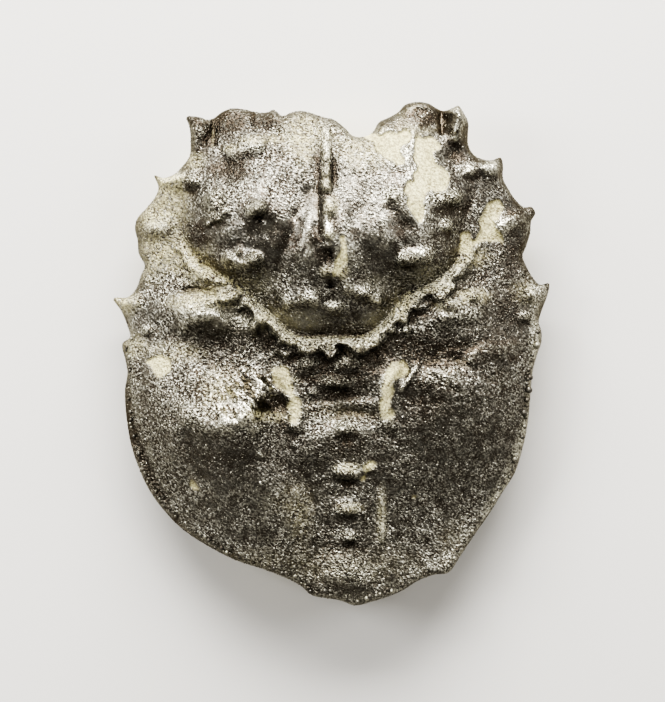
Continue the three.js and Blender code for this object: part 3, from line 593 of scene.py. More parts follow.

# %% [markdown]
# ## Dust, stains, painted shadow and thin film
#
# Pale dust of the rock still clings in furrows and round the spines, brown stains and painted shadow darken
# the hollows, and in places only a thin film of the mineral is left, so that it looks paler. The stain list
# holds both real stains and painted shadow, darker colour where the shell lies in shade. None of this
# follows a rule, so each is a list of soft oval spots. The knobs add their own: a painted shadow behind,
# dust with a painted highlight on the front and a worn top. Painting the mesh by hand would do as well,
# but a list can be read and changed.

# %% Where pale dust of the rock still clings
SPOT_SPREAD = 1.5
DUST = [  # x, y, reach in x, reach in y, how thick
    (-13.4, 11.8, 2, 3.4, 0.75), (-14.9, 9.8, 1.2, 1.6, 0.8), (-10.9, 15.4, 0.9, 0.8, 0.9),
    (-12.9, 13.6, 1, 0.8, 0.8), (-11.8, 8, 2, 1.5, 0.9), (-10.6, 6.4, 1.6, 0.9, 0.6),
    (5.4, 4, 0.9, 1.3, 0.4), (-14.6, 7.4, 1.6, 1.8, 0.6), (-16.6, 4.1, 1.2, 1, 1),
    (-10.3, 4.1, 2.6, 0.8, 1), (-15.8, 0.6, 1, 1, 0.7), (-8.2, 5.4, 2.4, 1, 0.5), (-4.5, -5, 1, 0.4, 0.6),
    (-6.3, -4.7, 0.8, 0.4, 0.5), (-4.6, 2.6, 1.2, 1, 0.4), (11.2, 4.5, 1.3, 0.6, 1),
    (9, 3.8, 1.1, 0.5, 0.6), (15.1, 4.9, 1, 1, 0.5), (10.8, 7.6, 1.6, 0.9, 0.7), (2.6, 16.4, 2.6, 1.8, 0.5),
    (-2.2, 17.4, 2, 1.8, 0.6), (6.6, 18.4, 1.6, 1.2, 0.6), (-0.1, 11.4, 0.5, 0.9, 0.9),
    (-0.3, 9.2, 0.5, 0.4, 0.7), (-0.2, 6.4, 0.7, 0.5, 1), (0.8, 6.4, 0.5, 0.6, 0.8),
    (-0.5, 14.2, 0.4, 1.6, 0.6), (-12.6, 0.1, 2.4, 0.8, 0.4), (0, -4.6, 3.6, 0.8, 0.15),
    (1.2, -9, 1, 0.4, 0.8), (1.4, -12.2, 1, 0.4, 0.7), (3.9, -13, 0.4, 2.4, 0.5), (-6.2, 1.8, 0.25, 0.6, 1),
    (-5.5, 2.4, 0.2, 0.5, 0.9), (-3, -2, 0.5, 0.3, 0.6), (0.3, -1.5, 0.4, 0.2, 0.8),
    (2.2, -1.4, 0.25, 0.3, 0.7), (1.7, 0.1, 0.7, 0.25, 0.7), (-3.1, -11.6, 2, 1.6, 0.15),
    (1.2, -16.8, 5.5, 1.4, 0.2), (-6, -16.4, 2.6, 1.1, 0.15), (-2.6, -13.2, 1, 2.2, 0.25),
    (9.6, -14.6, 1.4, 1.8, 0.1), (-2.3, 16.6, 0.8, 2.2, 0.4), (-7.9, 16.1, 0.7, 0.45, 0.8),
    (-6.3, 16.8, 1, 0.4, 0.8), (-4.8, 16.9, 0.9, 0.4, 0.5), (-9, -3, 1.7, 1.8, 0.35),
    (-9.5, 17.4, 0.12, 1, 0.9), (-5.7, -4.9, 1.4, 0.4, 0.4),
]
dust_and_highlight = add_spots(np.zeros(X.shape), DUST, SPOT_SPREAD)
print("dust spots:", len(DUST))

# %% Where the shell is stained dark, and where shadow is painted
STAINS_AND_SHADOWS = [  # x, y, reach in x, reach in y, how dark
    (-1.15, 14, 0.36, 2.4, 1), (-0.35, 12.3, 0.4, 0.35, 0.9), (-0.95, 9, 0.4, 2.2, 0.8),
    (0.2, 10.2, 0.25, 1.2, 0.6), (-7, 18.7, 2.2, 1, 0.35), (-2.4, 18.7, 1.6, 0.8, 0.25),
    (6.6, 19, 2, 1.1, 0.4), (0.1, 14.2, 0.32, 1.5, 0.9), (-10.9, 17.5, 0.5, 1.2, 1.2),
    (9.8, -1.2, 3.4, 0.9, 0.3), (1.2, -16.6, 4, 1.6, 0.35), (-6.9, 15.7, 0.6, 0.4, 0.7),
    (-9.4, 2.1, 1.6, 0.9, 0.3), (-5.4, -3.9, 1.2, 0.7, 0.55), (-15, -2, 2, 4.4, 0.25),
    (-12.8, -6, 2.6, 4, 0.2), (-15.4, 9.4, 1.2, 2.2, 0.35), (-10.4, 17.2, 0.9, 1.5, 1.3),
    (-8.3, 18.1, 1.3, 1.1, 0.9), (-4.9, 18.4, 1.4, 0.6, 0.8), (-7.5, 14.8, 0.9, 1.3, 0.8),
    (-9.1, 14.6, 1.3, 1, 0.8), (-11.5, 13.5, 0.3, 0.5, 0.9), (-10.5, 9.4, 0.9, 1.2, 0.6),
    (-6.8, 10.1, 0.5, 0.6, 0.5), (-5.7, 10.7, 0.3, 0.3, 1), (-3, 8.6, 1.7, 1.3, 0.75),
    (-13, 9.4, 3, 1.2, 0.3), (9.9, 17.4, 0.9, 1.5, 1.2), (7.2, 18.6, 1.5, 1, 0.8),
    (10.6, 15.3, 1.5, 0.4, 0.7), (12.3, 13.8, 0.9, 0.9, 0.5), (14.6, 11, 0.9, 1.5, 0.9),
    (11.4, 14.2, 0.4, 0.35, 0.8), (5.4, 10.1, 1, 1, 0.9), (3.3, 8.4, 2.4, 1.6, 0.12),
    (-5, 9.2, 2, 1.1, 0.25), (6.3, 6.7, 0.7, 0.4, 0.5), (9, 8, 0.9, 1.3, 0.5), (-6.2, 6.4, 0.6, 0.4, 0.7),
    (-8, 7, 0.3, 0.3, 0.9), (-10.5, 9.2, 1.2, 1.5, 0.3), (9.5, 11.1, 0.5, 0.5, 0.6),
    (13.8, 3, 1.6, 3.4, 0.6), (14, 7.4, 1.4, 1.4, 0.35), (6.8, 0, 1.8, 1.4, 0.5),
    (3.4, -0.6, 1.4, 1.1, 0.6), (14.7, 8.4, 0.9, 1.2, 0.7), (-1, -7.6, 4.5, 1.2, 0.3),
    (0.2, -0.9, 4, 1.9, 0.8), (-8.3, 1.2, 2.4, 1.5, 0.55), (1.2, -6.9, 1.5, 1, 0.7),
    (1.6, -15.4, 3, 1.6, 0.3), (-2.6, -4.8, 1.6, 1, 0.2), (7.2, -3.6, 2.6, 2.2, 0.5),
    (-8.6, -8, 3, 1.6, 0.4), (-0.2, 7.5, 0.6, 1, 0.9), (-0.1, 5.3, 0.35, 0.3, 1), (0, 2.7, 3.6, 1.2, 0.1),
    (4.6, 18.2, 1, 0.5, 0.4), (9.8, 0.3, 4.2, 1.4, 0.8), (9, -6, 5, 3.6, 0.2), (-8, -9, 3, 1.6, 0.3),
    (-4.8, 2, 1, 0.8, 0.4), (-6.8, 3.2, 0.9, 0.4, 1), (-4.8, 0.7, 0.8, 0.5, 0.9), (5.1, 0.9, 0.8, 0.8, 0.8),
    (0.1, -0.1, 1, 0.3, 0.8),
]
stain_and_shadow = add_spots(np.zeros(X.shape), STAINS_AND_SHADOWS, SPOT_SPREAD)
print("stains:", len(STAINS_AND_SHADOWS))

# %% Where only a thin film of the mineral is left
THIN_FILM = [  # x, y, reach in x, reach in y, how much paler the mineral is
    (-5.6, 5.6, 2, 1.4, 0.9), (7.2, 6, 2.2, 1.4, 1), (3.4, 5.4, 1.8, 1.2, 0.8), (-8.6, 2.4, 2.4, 1.6, 0.8),
    (-5.6, 2.8, 1.8, 1.5, 0.9), (-2.4, 2.6, 2, 1.2, 0.9), (0.6, 2.6, 2.2, 1.2, 0.35),
    (3.8, 2.8, 1.8, 1.4, 0.8), (10.2, 6, 1.8, 1.6, 0.6), (-8.8, -3.4, 1.8, 1.8, 0.5),
    (-5.8, -3, 1.6, 1.6, 0.4), (-1.5, 13.5, 3.2, 3, 0.3), (-5.8, -16.3, 2.6, 1.5, 0.6),
    (-5, 9.8, 1.8, 1.2, 0.5), (-3.4, -13.4, 1.6, 2, 0.4), (10.4, -13, 2.4, 3, 0.3),
    (-7, 3.8, 1.6, 0.8, 0.5), (5.6, 4, 1.2, 1, 0.5),
]
thin_film = add_spots(np.zeros(X.shape), THIN_FILM, SPOT_SPREAD)
print("thin spots:", len(THIN_FILM))

# %% What the knobs and the wall add
STAIN_AND_SHADOW_STRENGTH = 1.3
FULL_KNOB = 0.5  # height from which a knob marks the shell fully
WALL_DUST = 0.65
knob_wear = np.zeros(X.shape)
# per knob: painted shadow behind it in the stain field, dust with a painted highlight on its front, wear on
# its top
KNOB_SPOTS = [  # field, then shift, reaches and amount as in KNOB_HOLLOW
    (stain_and_shadow, -1.1, 1.7, 1.3, 0.6), (dust_and_highlight, 0.3, 1.3, 1.1, 0.15), (knob_wear, 0.2, 1.6, 1.4, 1.4),
]
for knob in KNOBS:
    share = np.clip(knob[-1] / FULL_KNOB, 0, 1)
    for field, *spot in KNOB_SPOTS:
        add_beside_knob(field, knob, share, *spot)
knob_wear = np.minimum(knob_wear, 1)
stain_and_shadow = np.minimum(STAIN_AND_SHADOW_STRENGTH * stain_and_shadow, 1)
dust_and_highlight = np.minimum(dust_and_highlight + WALL_DUST * on_wall, 1)
print("dusted share of the plan:", round(float(dust_and_highlight.mean()), 3))

# %% [markdown]
# ## From heights to a closed body
#
# A square grid would leave a stair-stepped edge, so the mesh is made of rings instead. The outermost ring
# is the margin itself, and each ring inside it has fewer points and less of the spines, until the inner
# rings follow the plain form of the shell. Two rings are joined by a zip of triangles. The underside uses
# the same margin, turns in under the edge as the shell of a crab does, and ends in level rock to lie on.

# %% Heights at the margin, over the back and under it
EDGE_STEP = 0.5  # how far the back rises at once from its margin
EDGE_ROUND = 0.6  # width of the rounding at the margin
LIP = 0.45  # thickness of the edge
TURN_IN = 0.18  # share of the way in at which the underside is level
SPINE_LIFT = 4.0  # how far a spine rises for each share beyond the plain margin
FRONT_LIFT, FRONT_LIFT_FROM = 1.6, 8.0
REAR_LIFT, REAR_LIFT_FROM = 2.2, 11.0
margin_distance = nearest_on(margin_trace, X, Y)[0]


def sampled(field, x, y):
    """A field of the plan grid at any points, blended between its four nearest values."""
    column = np.clip((x - grid_x[0]) / GRID_STEP, 0, len(grid_x) - 1.001)
    row = np.clip((y - grid_y[0]) / GRID_STEP, 0, len(grid_y) - 1.001)
    c = column.astype(int)
    r = row.astype(int)
    across = column - c
    up = row - r
    lower = field[r, c] * (1 - across) + field[r, c + 1] * across
    upper = field[r + 1, c] * (1 - across) + field[r + 1, c + 1] * across
    return lower * (1 - up) + upper * up


def margin_height(x, y):
    climb = FRONT_LIFT * smoothstep(FRONT_LIFT_FROM, FRONT_REACH, y)
    climb = climb + REAR_LIFT * smoothstep(REAR_LIFT_FROM, REAR_REACH, -y)
    return EDGE_HEIGHT + climb + SPINE_LIFT * np.maximum(outward_share(x, y) - 1, 0)


def edge_rounding(x, y):
    share = np.minimum(sampled(margin_distance, x, y) / EDGE_ROUND, 1)
    return np.sqrt(1 - (1 - share) ** 2)


def back_height(x, y):
    rise = sampled(relief, x, y) - EDGE_HEIGHT + EDGE_STEP
    return margin_height(x, y) + edge_rounding(x, y) * rise


def underside_height(x, y):
    edge = margin_height(x, y)
    turned = smoothstep(0, TURN_IN, 1 - outward_share(x, y))
    return edge - edge_rounding(x, y) * (LIP + (edge - LIP) * turned)


# %% The rings
POINTS_PER_SPAN = 8
SMOOTH_RING = 0.8  # rings inside this share of the way out have no spines
margin_points = smooth_curve(MARGIN, POINTS_PER_SPAN, closed=True)
ring_points = len(margin_points) - 1
margin_params = np.arange(ring_points + 1) / ring_points


def ring_of(share, count):
    """Plan points of one ring."""
    at = np.arange(count) / count
    x, y = (np.interp(at, margin_params, line) for line in margin_points.T)
    out = outward_share(x, y)
    outer_part = (share - SMOOTH_RING) / (1 - SMOOTH_RING)
    blended = SMOOTH_RING / out * (1 - outer_part) + outer_part
    scale = share / out if share < SMOOTH_RING else blended
    return scale * x, scale * y


# %% A zip of triangles between two rings
def zip_rings(outer, inner, faces_up):
    """Triangles between two rings of point numbers."""
    triangles = []
    a = b = 0
    for _ in range(len(outer) + (len(inner) if len(inner) > 1 else 0)):
        outer_next = (a + 1) / len(outer) <= (b + 1) / len(inner)
        start = outer[a % len(outer)]
        across = inner[b % len(inner)]
        ahead = outer[(a + 1) % len(outer)] if outer_next else inner[(b + 1) % len(inner)]
        triangles.append((start, across, ahead) if faces_up else (start, ahead, across))
        a += outer_next
        b += not outer_next
    return triangles


# %% The closed body
BACK_RINGS = 150
BACK_SHARES = [1 - (i + 1) / BACK_RINGS for i in range(BACK_RINGS)]
BASE_SHARES = [
    0.993, 0.985, 0.975, 0.96, 0.945, 0.93, 0.91, 0.89, 0.865, 0.84, 0.82, 0.8, 0.6, 0.35, 0.12, 0,
]
BASE_THINNING = 0.4
edge_x, edge_y = ring_of(1.0, ring_points)
rings = [np.column_stack([edge_x, edge_y, margin_height(edge_x, edge_y)])]
shell_triangles = []


def cover(shares, thinning, height_at, faces_up):
    """Adds rings from the margin to the middle, and returns how many points there are."""
    outer = range(ring_points)
    total = sum(len(ring) for ring in rings)
    for share in shares:
        count = max(round(ring_points * share * thinning), 1)
        x, y = ring_of(share, count)
        rings.append(np.column_stack([x, y, height_at(x, y)]))
        inner = range(total, total + count)
        total += count
        shell_triangles.extend(zip_rings(outer, inner, faces_up))
        outer = inner
    return total


underside_start = cover(BACK_SHARES, 1, back_height, True)
cover(BASE_SHARES, BASE_THINNING, underside_height, False)
shell_points = np.vstack(rings)
print("carapace:", len(shell_points), "points,", len(shell_triangles), "triangles")

# %% [markdown]
# ### Strokes on the gill fields
#
# Beside the heart the surface is drawn out into short ribs, where muscles were fixed inside the shell.
# They spread like rays from a point on each gill field. Stored as a turn around that point and a distance
# from it, they can be drawn later by an ordinary noise that is stretched along the rays.

# %% Rays of the gill fields
RAYS = [  # centre, middle of the strokes, reach in x and y, strength
    ((-11, 1.5), (-6.9, -3.2), (4.4, 3.2), 1.0),
    ((2.5, -0.2), (10.5, -1.6), (5.0, 3.4), 0.55),
]
RAY_RADIUS = 4.0
RAY_FADE = (1, 0.45)
turn, along_ray, ray_share = np.zeros((3, *X.shape))
for (x, y), (middle_x, middle_y), (reach_x, reach_y), strength in RAYS:
    away = np.hypot((X - middle_x) / reach_x, (Y - middle_y) / reach_y)
    here = strength * smoothstep(*RAY_FADE, away)
    stronger = here > ray_share
    turn[stronger] = RAY_RADIUS * np.arctan2(Y - y, X - x)[stronger]
    along_ray[stronger] = np.hypot(X - x, Y - y)[stronger]
    ray_share = np.maximum(ray_share, here)
print("ribbed share of the plan:", round(float(ray_share.mean()), 3))

# %% [markdown]
# ## Masks that the finish and the grains need
#
# Where a shell is worn, where it is hollow and where grains grow mostly follow from its shape. Comparing
# the relief with a blurred copy of itself finds its crests and its hollows, and the wall, the margin and
# the knobs are worn as well. The hollow mask is painted shade: it darkens the colour where shade falls in
# the hollows. How coarse the mineral is differs from field to field, so that is a list of soft spots again.
# The masks are stored on the mesh as attributes, which a material or a geometry tree reads by name.
#
# The flecks of the mineral all lie one way. So one more attribute gives each point its place in a space
# that is squeezed along that direction, and an ordinary noise read there comes out drawn out.

# %% Crests, and hollows with painted shade
MARGIN_WEAR = 0.9
WORN_RING = (0.93, 0.965)
WORN_FRONT = (7, 3)
WORN_REAR = (-15, -10)
LEFT_WEAR = 0.55
REAR_WEAR = 0.3
margin_wear = MARGIN_WEAR * smoothstep(*WORN_RING, OUT) * smoothstep(*WORN_FRONT, Y)
margin_wear *= np.where(X > 0, 1, LEFT_WEAR)
margin_wear *= REAR_WEAR + (1 - REAR_WEAR) * smoothstep(*WORN_REAR, Y)
CREST_REACH = 0.7
CREST_RISE = (0.04, 0.3)
ridged = smoothstep(*CREST_RISE, relief - blurred(relief, CREST_REACH))
crest = np.max([ridged, on_wall, margin_wear, knob_wear], axis=0)
FILM_OVER_HOLLOW = 0.8
HOLLOW_REACH = 0.9
HOLLOW_DEPTH = (0.03, 0.3)
film_cover = FILM_OVER_HOLLOW * np.minimum(thin_film, 1)
# painted shade: colour darkened in the hollows, less where the mineral is a thin film
hollow_shade = smoothstep(*HOLLOW_DEPTH, blurred(relief, HOLLOW_REACH) - relief) * (1 - film_cover)
print("crest share:", round(float(crest.mean()), 3), "hollow share:", round(float(hollow_shade.mean()), 3))

# %% How coarse the mineral is
COARSER = [  # x, y, reach in x, reach in y, how much coarser the mineral is
    (-8, -3, 7, 4.6, 0.9), (-14.4, -6, 4, 9, 0.55), (-5.5, 17, 8, 5, 0.75), (3, 14.5, 5, 6, 0.12),
    (-12, 7, 6, 5, 0.4), (11.5, 5.5, 6, 6, 0.35), (0.4, -5.8, 5, 3, 0.35), (0.6, -15.5, 6, 5, 0.25),
    (-5.8, -16.2, 2.6, 1.8, 0.6), (-2, 9.4, 2, 4.4, -0.35), (-3.8, 12, 1.6, 2, 0.35),
    (-8.8, 12.6, 2.4, 2.4, 0.4), (-6.5, 8.9, 4.6, 2.4, -0.4), (4.6, 8.8, 4.8, 2.4, -0.25),
    (8.5, 11, 3, 5, 0.2), (10, -1.5, 6, 3, 0.4), (0, -1.2, 4, 2.6, 0.3), (0, 0.9, 9, 1.6, 0.45),
    (0, 5.6, 8, 3, 0.4), (7, 6.5, 3, 3, 0.3), (-6.4, 6.4, 2.6, 2, 0.3), (-6, 4, 3, 2.4, 0.4),
    (6, 4, 3, 2.4, 0.4),
]
COARSENESS = 0.5
COARSE_SPREAD = 1.3
STOMACH_FINENESS = 0.15
KNOB_COARSENESS = 0.8
WALL_COARSENESS = 0.25
COARSE_LIMITS = (0.2, 1.5)
STOMACH_EDGE = (-0.2, 0.5)
GRAIN_SIZE = (0.3, 0.55)  # least size, and what coarseness adds to it
in_stomach = smoothstep(*STOMACH_EDGE, depth_inside(smooth_curve(STOMACH_FIELD, 4, closed=True), X, Y))
coarseness = np.full(X.shape, COARSENESS) - STOMACH_FINENESS * in_stomach
add_spots(coarseness, COARSER, COARSE_SPREAD)
coarseness += KNOB_COARSENESS * knob_wear + WALL_COARSENESS * on_wall
coarseness = np.clip(coarseness, *COARSE_LIMITS)
grain_size = GRAIN_SIZE[0] + GRAIN_SIZE[1] * coarseness
print("coarseness:", round(float(coarseness.min()), 2), "to", round(float(coarseness.max()), 2))

# %% Where grains grow
PITS = [(-4.2, -4.0, 1.3, 1.2), (5.7, -3.2, 1.3, 1.5)]  # x, y, reach in x, reach in y
PIT_FADE = (1.3, 0.4)
PIT_LOSS = 0.7
HOLLOW_LOSS = 0.5
RAY_LOSS = 0.8
pit = np.max([smoothstep(*PIT_FADE, np.hypot((X - x) / a, (Y - y) / b)) for x, y, a, b in PITS], axis=0)
grain_share = (1 - bare) * (1 - PIT_LOSS * pit) * (1 - HOLLOW_LOSS * hollow_shade) * (1 - RAY_LOSS * ray_share)
print("share of the plan with grains:", round(float(grain_share.mean()), 3))

# %% A space in which the flecks lie one way
FLECK_LIE = math.radians(145)
FLECK_SQUEEZE = (0.78, 1.02)
x, y, z = shell_points.T
along = x * math.cos(FLECK_LIE) + y * math.sin(FLECK_LIE)
across = y * math.cos(FLECK_LIE) - x * math.sin(FLECK_LIE)
laid = np.column_stack([along * FLECK_SQUEEZE[0], across * FLECK_SQUEEZE[1], z]) * MM
print("fleck space, mm:", [round(float(v) / MM, 1) for v in np.ptp(laid, axis=0)])

# %% The carapace as a Blender mesh
span = shell_points[:, :2]
centre_x, centre_y = (span.max(0) + span.min(0)) / 2
shell_shift = np.array([-centre_x, -centre_y, 0.0])


def to_metres(points):
    """Fossil millimetres to the row frame in metres, origin under the middle of the footprint."""
    return (points + shell_shift) * MM


def placed(name, data):
    """A new object in the scene that holds a mesh, a light or a camera."""
    thing = bpy.data.objects.new(name, data)
    bpy.context.scene.collection.objects.link(thing)
    return thing


def mesh_object(name, points, edges, faces):
    mesh = bpy.data.meshes.new(name)
    mesh.from_pydata(points, edges, faces)
    return placed(name, mesh)


carapace = mesh_object("carapace_shell", to_metres(shell_points).tolist(), [], shell_triangles)
carapace.data.shade_smooth()
print("carapace size, mm:", [round(float(v), 2) for v in np.ptp(shell_points, axis=0)])


# %% The masks as attributes
def store(name, values, kind="FLOAT", slot="value"):
    """A value for every point of the carapace, under a name that nodes can read."""
    attribute = carapace.data.attributes.new(name, kind, "POINT")
    attribute.data.foreach_set(slot, np.asarray(values, np.float32).ravel())


ROCK_BELOW_FROM = (0.06, 0.09)
HALVES_MEET = 2.0
on_back = np.arange(len(shell_points)) < underside_start
rock_below = smoothstep(*ROCK_BELOW_FROM, 1 - outward_share(x, y))
store("bare", np.where(on_back, sampled(bare, x, y), rock_below))
BACK_MASKS = {
    "crest": crest, "hollow_shade": hollow_shade, "stain_and_shadow": stain_and_shadow, "dust_and_highlight": dust_and_highlight, "thin_film": thin_film,
    "ray_share": ray_share, "grain_front": grain_share, "grain_rear": grain_share,
}
HALVES = {"grain_front": y > HALVES_MEET, "grain_rear": y <= HALVES_MEET}
for name, field in BACK_MASKS.items():
    store(name, np.where(on_back & HALVES.get(name, True), sampled(field, x, y), 0))
for name, field in (("grain_size", grain_size), ("coarse", coarseness)):
    store(name, sampled(field, x, y))
rays = np.column_stack([sampled(turn, x, y), sampled(along_ray, x, y), 0 * x])
for name, places in (("rays", rays), ("laid", laid)):
    store(name, places, "FLOAT_VECTOR", "vector")
print("attributes:", len(carapace.data.attributes))

# %% [markdown]
# ## Grains grown by Geometry Nodes
#
# The shell is covered with thousands of tiny mineral grains. Placing them one by one is hopeless, and a
# bump map alone goes flat at the edge and from the side. Geometry Nodes scatter points on the surface with
# a least distance between them, tip each one at random off the surface normal, and put a small 8-faced
# crystal there, sunk to its middle. The tree is written once, with its sizes as named inputs, and used for
# the front and the rear half of the shell. A small class first makes such trees short to write.

# %% Short ways to write node trees
SOCKET_KINDS = {"VALUE": "NodeSocketFloat", "RGBA": "NodeSocketColor", "VECTOR": "NodeSocketVector",
                "GEOMETRY": "NodeSocketGeometry"}


class Tree:
    """Adds nodes to a tree. An input takes a socket, which is linked, or a plain value."""

    def __init__(self, tree):
        self.tree = tree

    def feed(self, socket, value):
        if isinstance(value, bpy.types.NodeSocket):
            self.tree.links.new(value, socket)
        else:
            socket.default_value = (*value, 1.0) if socket.type == "RGBA" else value

    def add(self, kind, inputs=None, **settings):
        """Adds a node, sets it and feeds it, and returns its outputs by name."""
        node = self.tree.nodes.new(kind)
        for name, value in settings.items():
            setattr(node, name, value)
        sockets = {s.name: s for s in node.inputs if s.enabled}
        for name, value in (inputs or {}).items():
            self.feed(sockets[name], value)
        return {s.name: s for s in node.outputs if s.enabled}

    def first(self, *node, **settings):
        """Adds a node and returns its first output."""
        return next(iter(self.add(*node, **settings).values()))

    def maths(self, operation, value, *others, kind="ShaderNodeMath"):
        """Joins values, from left to right, by one operation."""
        for other in others:
            node = self.tree.nodes.new(kind)
            node.operation = operation
            self.feed(node.inputs[0], value)
            self.feed(node.inputs[1], other)
            value = node.outputs[0]
        return value

    def times(self, *values):
        return self.maths("MULTIPLY", *values)

    def plus(self, *values):
        return self.maths("ADD", *values)

    def minus(self, *values):
        return self.maths("SUBTRACT", *values)

    def largest(self, *values):
        return self.maths("MAXIMUM", *values)

    def random(self, low, high, seed):
        kind = "FLOAT_VECTOR" if isinstance(low, tuple) else "FLOAT"
        return self.first("FunctionNodeRandomValue", {"Min": low, "Max": high, "Seed": seed}, data_type=kind)

    def takes(self, *rows):
        """Makes inputs of the tree from rows of name, kind and default, and returns them by name."""
        for name, kind, *default in rows:
            made = self.tree.interface.new_socket(name, in_out="INPUT", socket_type="NodeSocket" + kind)
            if default:
                made.default_value = default[0]
        return {s.name: s for s in self.tree.nodes.new("NodeGroupInput").outputs}

    def gives(self, **results):
        """Makes an output of the tree for each socket, and returns the tree."""
        for name, value in results.items():
            self.tree.interface.new_socket(name, in_out="OUTPUT", socket_type=SOCKET_KINDS[value.type])
        node = self.tree.nodes.new("NodeGroupOutput")
        for name, value in results.items():
            self.feed(node.inputs[name], value)
        print(self.tree.name, "has", len(self.tree.nodes), "nodes")
        return self.tree


# %% Helpers for geometry trees
def geometry_tree(name, *rows):
    """A geometry tree that takes a geometry, the inputs in rows, a seed and a finish."""
    tree = Tree(bpy.data.node_groups.new(name, "GeometryNodeTree"))
    common = ("Seed", "Int", 1), ("Finish", "Material")
    return tree, tree.takes(("Geometry", "Geometry"), *rows, *common)


def named_value(tree, name):
    return tree.first("GeometryNodeInputNamedAttribute", {"Name": name}, data_type="FLOAT")


def scattered(tree, scale, tones, finish, **placing):
    """Puts an instance on each point, gives each its own tone, makes them real and sets their finish."""
    placing["Scale"] = tree.first("ShaderNodeCombineXYZ", dict(zip("XYZ", scale)))
    toned = tree.first("GeometryNodeStoreNamedAttribute", {
        "Geometry": tree.first("GeometryNodeInstanceOnPoints", placing),
        "Name": "tone", "Value": tree.random(*tones),
    }, data_type="FLOAT", domain="INSTANCE")
    real = tree.first("GeometryNodeRealizeInstances", {"Geometry": toned})
    return tree.first("GeometryNodeSetMaterial", {"Geometry": real, "Material": finish})


# %% The tree that grows grains
DENSITY = 6.0e7  # most grains per square metre
GRAIN_TIP = 0.3  # how far a grain leans off the surface normal
GRAIN_SIZES = (0.5, 0.8)  # least size, and what chance adds to it
GRAIN_SHAPE = (1.3, 0.7)  # length and depth against width
GRAIN_TONES = (0.0, 1.0, 77)  # least, most, seed


def grain_tree():
    tree, given = geometry_tree(
        "GrowGrains", ("Least Distance", "Float", 0.3 * MM), ("Radius", "Float", 0.13 * MM),
        ("Where", "String", "grain_rear"))
    points = tree.add("GeometryNodeDistributePointsOnFaces", {
        "Mesh": given["Geometry"], "Distance Min": given["Least Distance"], "Density Max": DENSITY,
        "Density Factor": named_value(tree, given["Where"]), "Seed": given["Seed"],
    }, distribute_method="POISSON")
    tip = tree.random((-GRAIN_TIP,) * 3, (GRAIN_TIP,) * 3, given["Seed"])
    tipped = tree.maths("ADD", points["Normal"], tip, kind="ShaderNodeVectorMath")
    upright = tree.first("FunctionNodeAlignRotationToVector", {"Vector": tipped}, axis="Z")
    crystal = tree.first("GeometryNodeMeshUVSphere", {"Segments": 4, "Rings": 2, "Radius": 1.0})
    flat = tree.first("GeometryNodeSetShadeSmooth", {"Geometry": crystal, "Shade Smooth": False})
    chance = tree.maths("POWER", tree.random(0.0, 1.0, given["Seed"]), 2.0)
    random_size = tree.plus(tree.times(chance, GRAIN_SIZES[1]), GRAIN_SIZES[0])
    size = tree.times(random_size, tree.times(given["Radius"], named_value(tree, "grain_size")))
    scale = tree.times(size, GRAIN_SHAPE[0]), size, tree.times(size, GRAIN_SHAPE[1])
    return tree.gives(Geometry=scattered(
        tree, scale, GRAIN_TONES, given["Finish"], Points=points["Points"], Instance=flat, Rotation=upright))


GRAIN_TREE = grain_tree()


# %% Running a tree and keeping its result
def grown(name, source, tree, **values):
    """Runs a geometry tree on a copy of source and keeps the result as a plain mesh."""
    base = placed(name + "_base", source.data.copy())
    modifier = base.modifiers.new("grow", "NODES")
    modifier.node_group = tree
    for item in tree.interface.items_tree:
        if item.in_out == "INPUT" and item.name in values:
            modifier[item.identifier] = values[item.name]
    mesh = bpy.data.meshes.new_from_object(base.evaluated_get(bpy.context.evaluated_depsgraph_get()))
    mesh.name = name
    base.modifiers.clear()
    bpy.data.objects.remove(base)
    print(name, len(mesh.polygons), "faces")
    return placed(name, mesh)

# %% [markdown]
# ## Finishes
#
# Two finishes meet on this fossil. The shell has turned to a dark brown mineral with a dull metallic
# sheen: it is nearly black in stains, broken up by pale flecks, scales and sparks of crystal, and palest
# where it is worn. Its colour is also darkened as painted shade in the hollows, in the gaps between
# flecks and scales, between the ribs and behind the knobs. Where it is coarser, flecks and gaps stand out
# more. The rock under it is a pale cream, matt and finely sandy, and so is the dust. Both come from noise
# in the object's own space, so they go through the piece instead of being wrapped on it, and the masks say
# where each one shows.
#
# What both pieces share is kept in node groups that give colours and heights only. The shader stays in
# the material, where it is easy to find. A metal turns white when it is seen from low down, so the tint
# of its edge is set darker.

# %% Colours and patterns
BROWN = (0.06, 0.051, 0.041)
PALER_BROWN = (0.084, 0.0755, 0.062)
GREY_BROWN = (0.125, 0.1205, 0.105)
FLECK_COLOUR = (0.5, 0.487, 0.42)
FILM_COLOUR = (0.3, 0.29, 0.235)
SPARK_COLOUR = (0.72, 0.7, 0.6)
WORN_COLOUR = (0.78, 0.765, 0.635)
# the dark of stains and of painted shade in hollows, pits and gaps
SHADE_AND_STAIN_BROWN = (0.049, 0.039, 0.029)
# painted shade in the furrows between the ribs
SHADE_BETWEEN_RIBS = (0.035, 0.03, 0.02)
CREAM = (0.53, 0.495, 0.275)
PALE_CREAM = (0.66, 0.625, 0.37)
SANDY = (0.27, 0.24, 0.145)
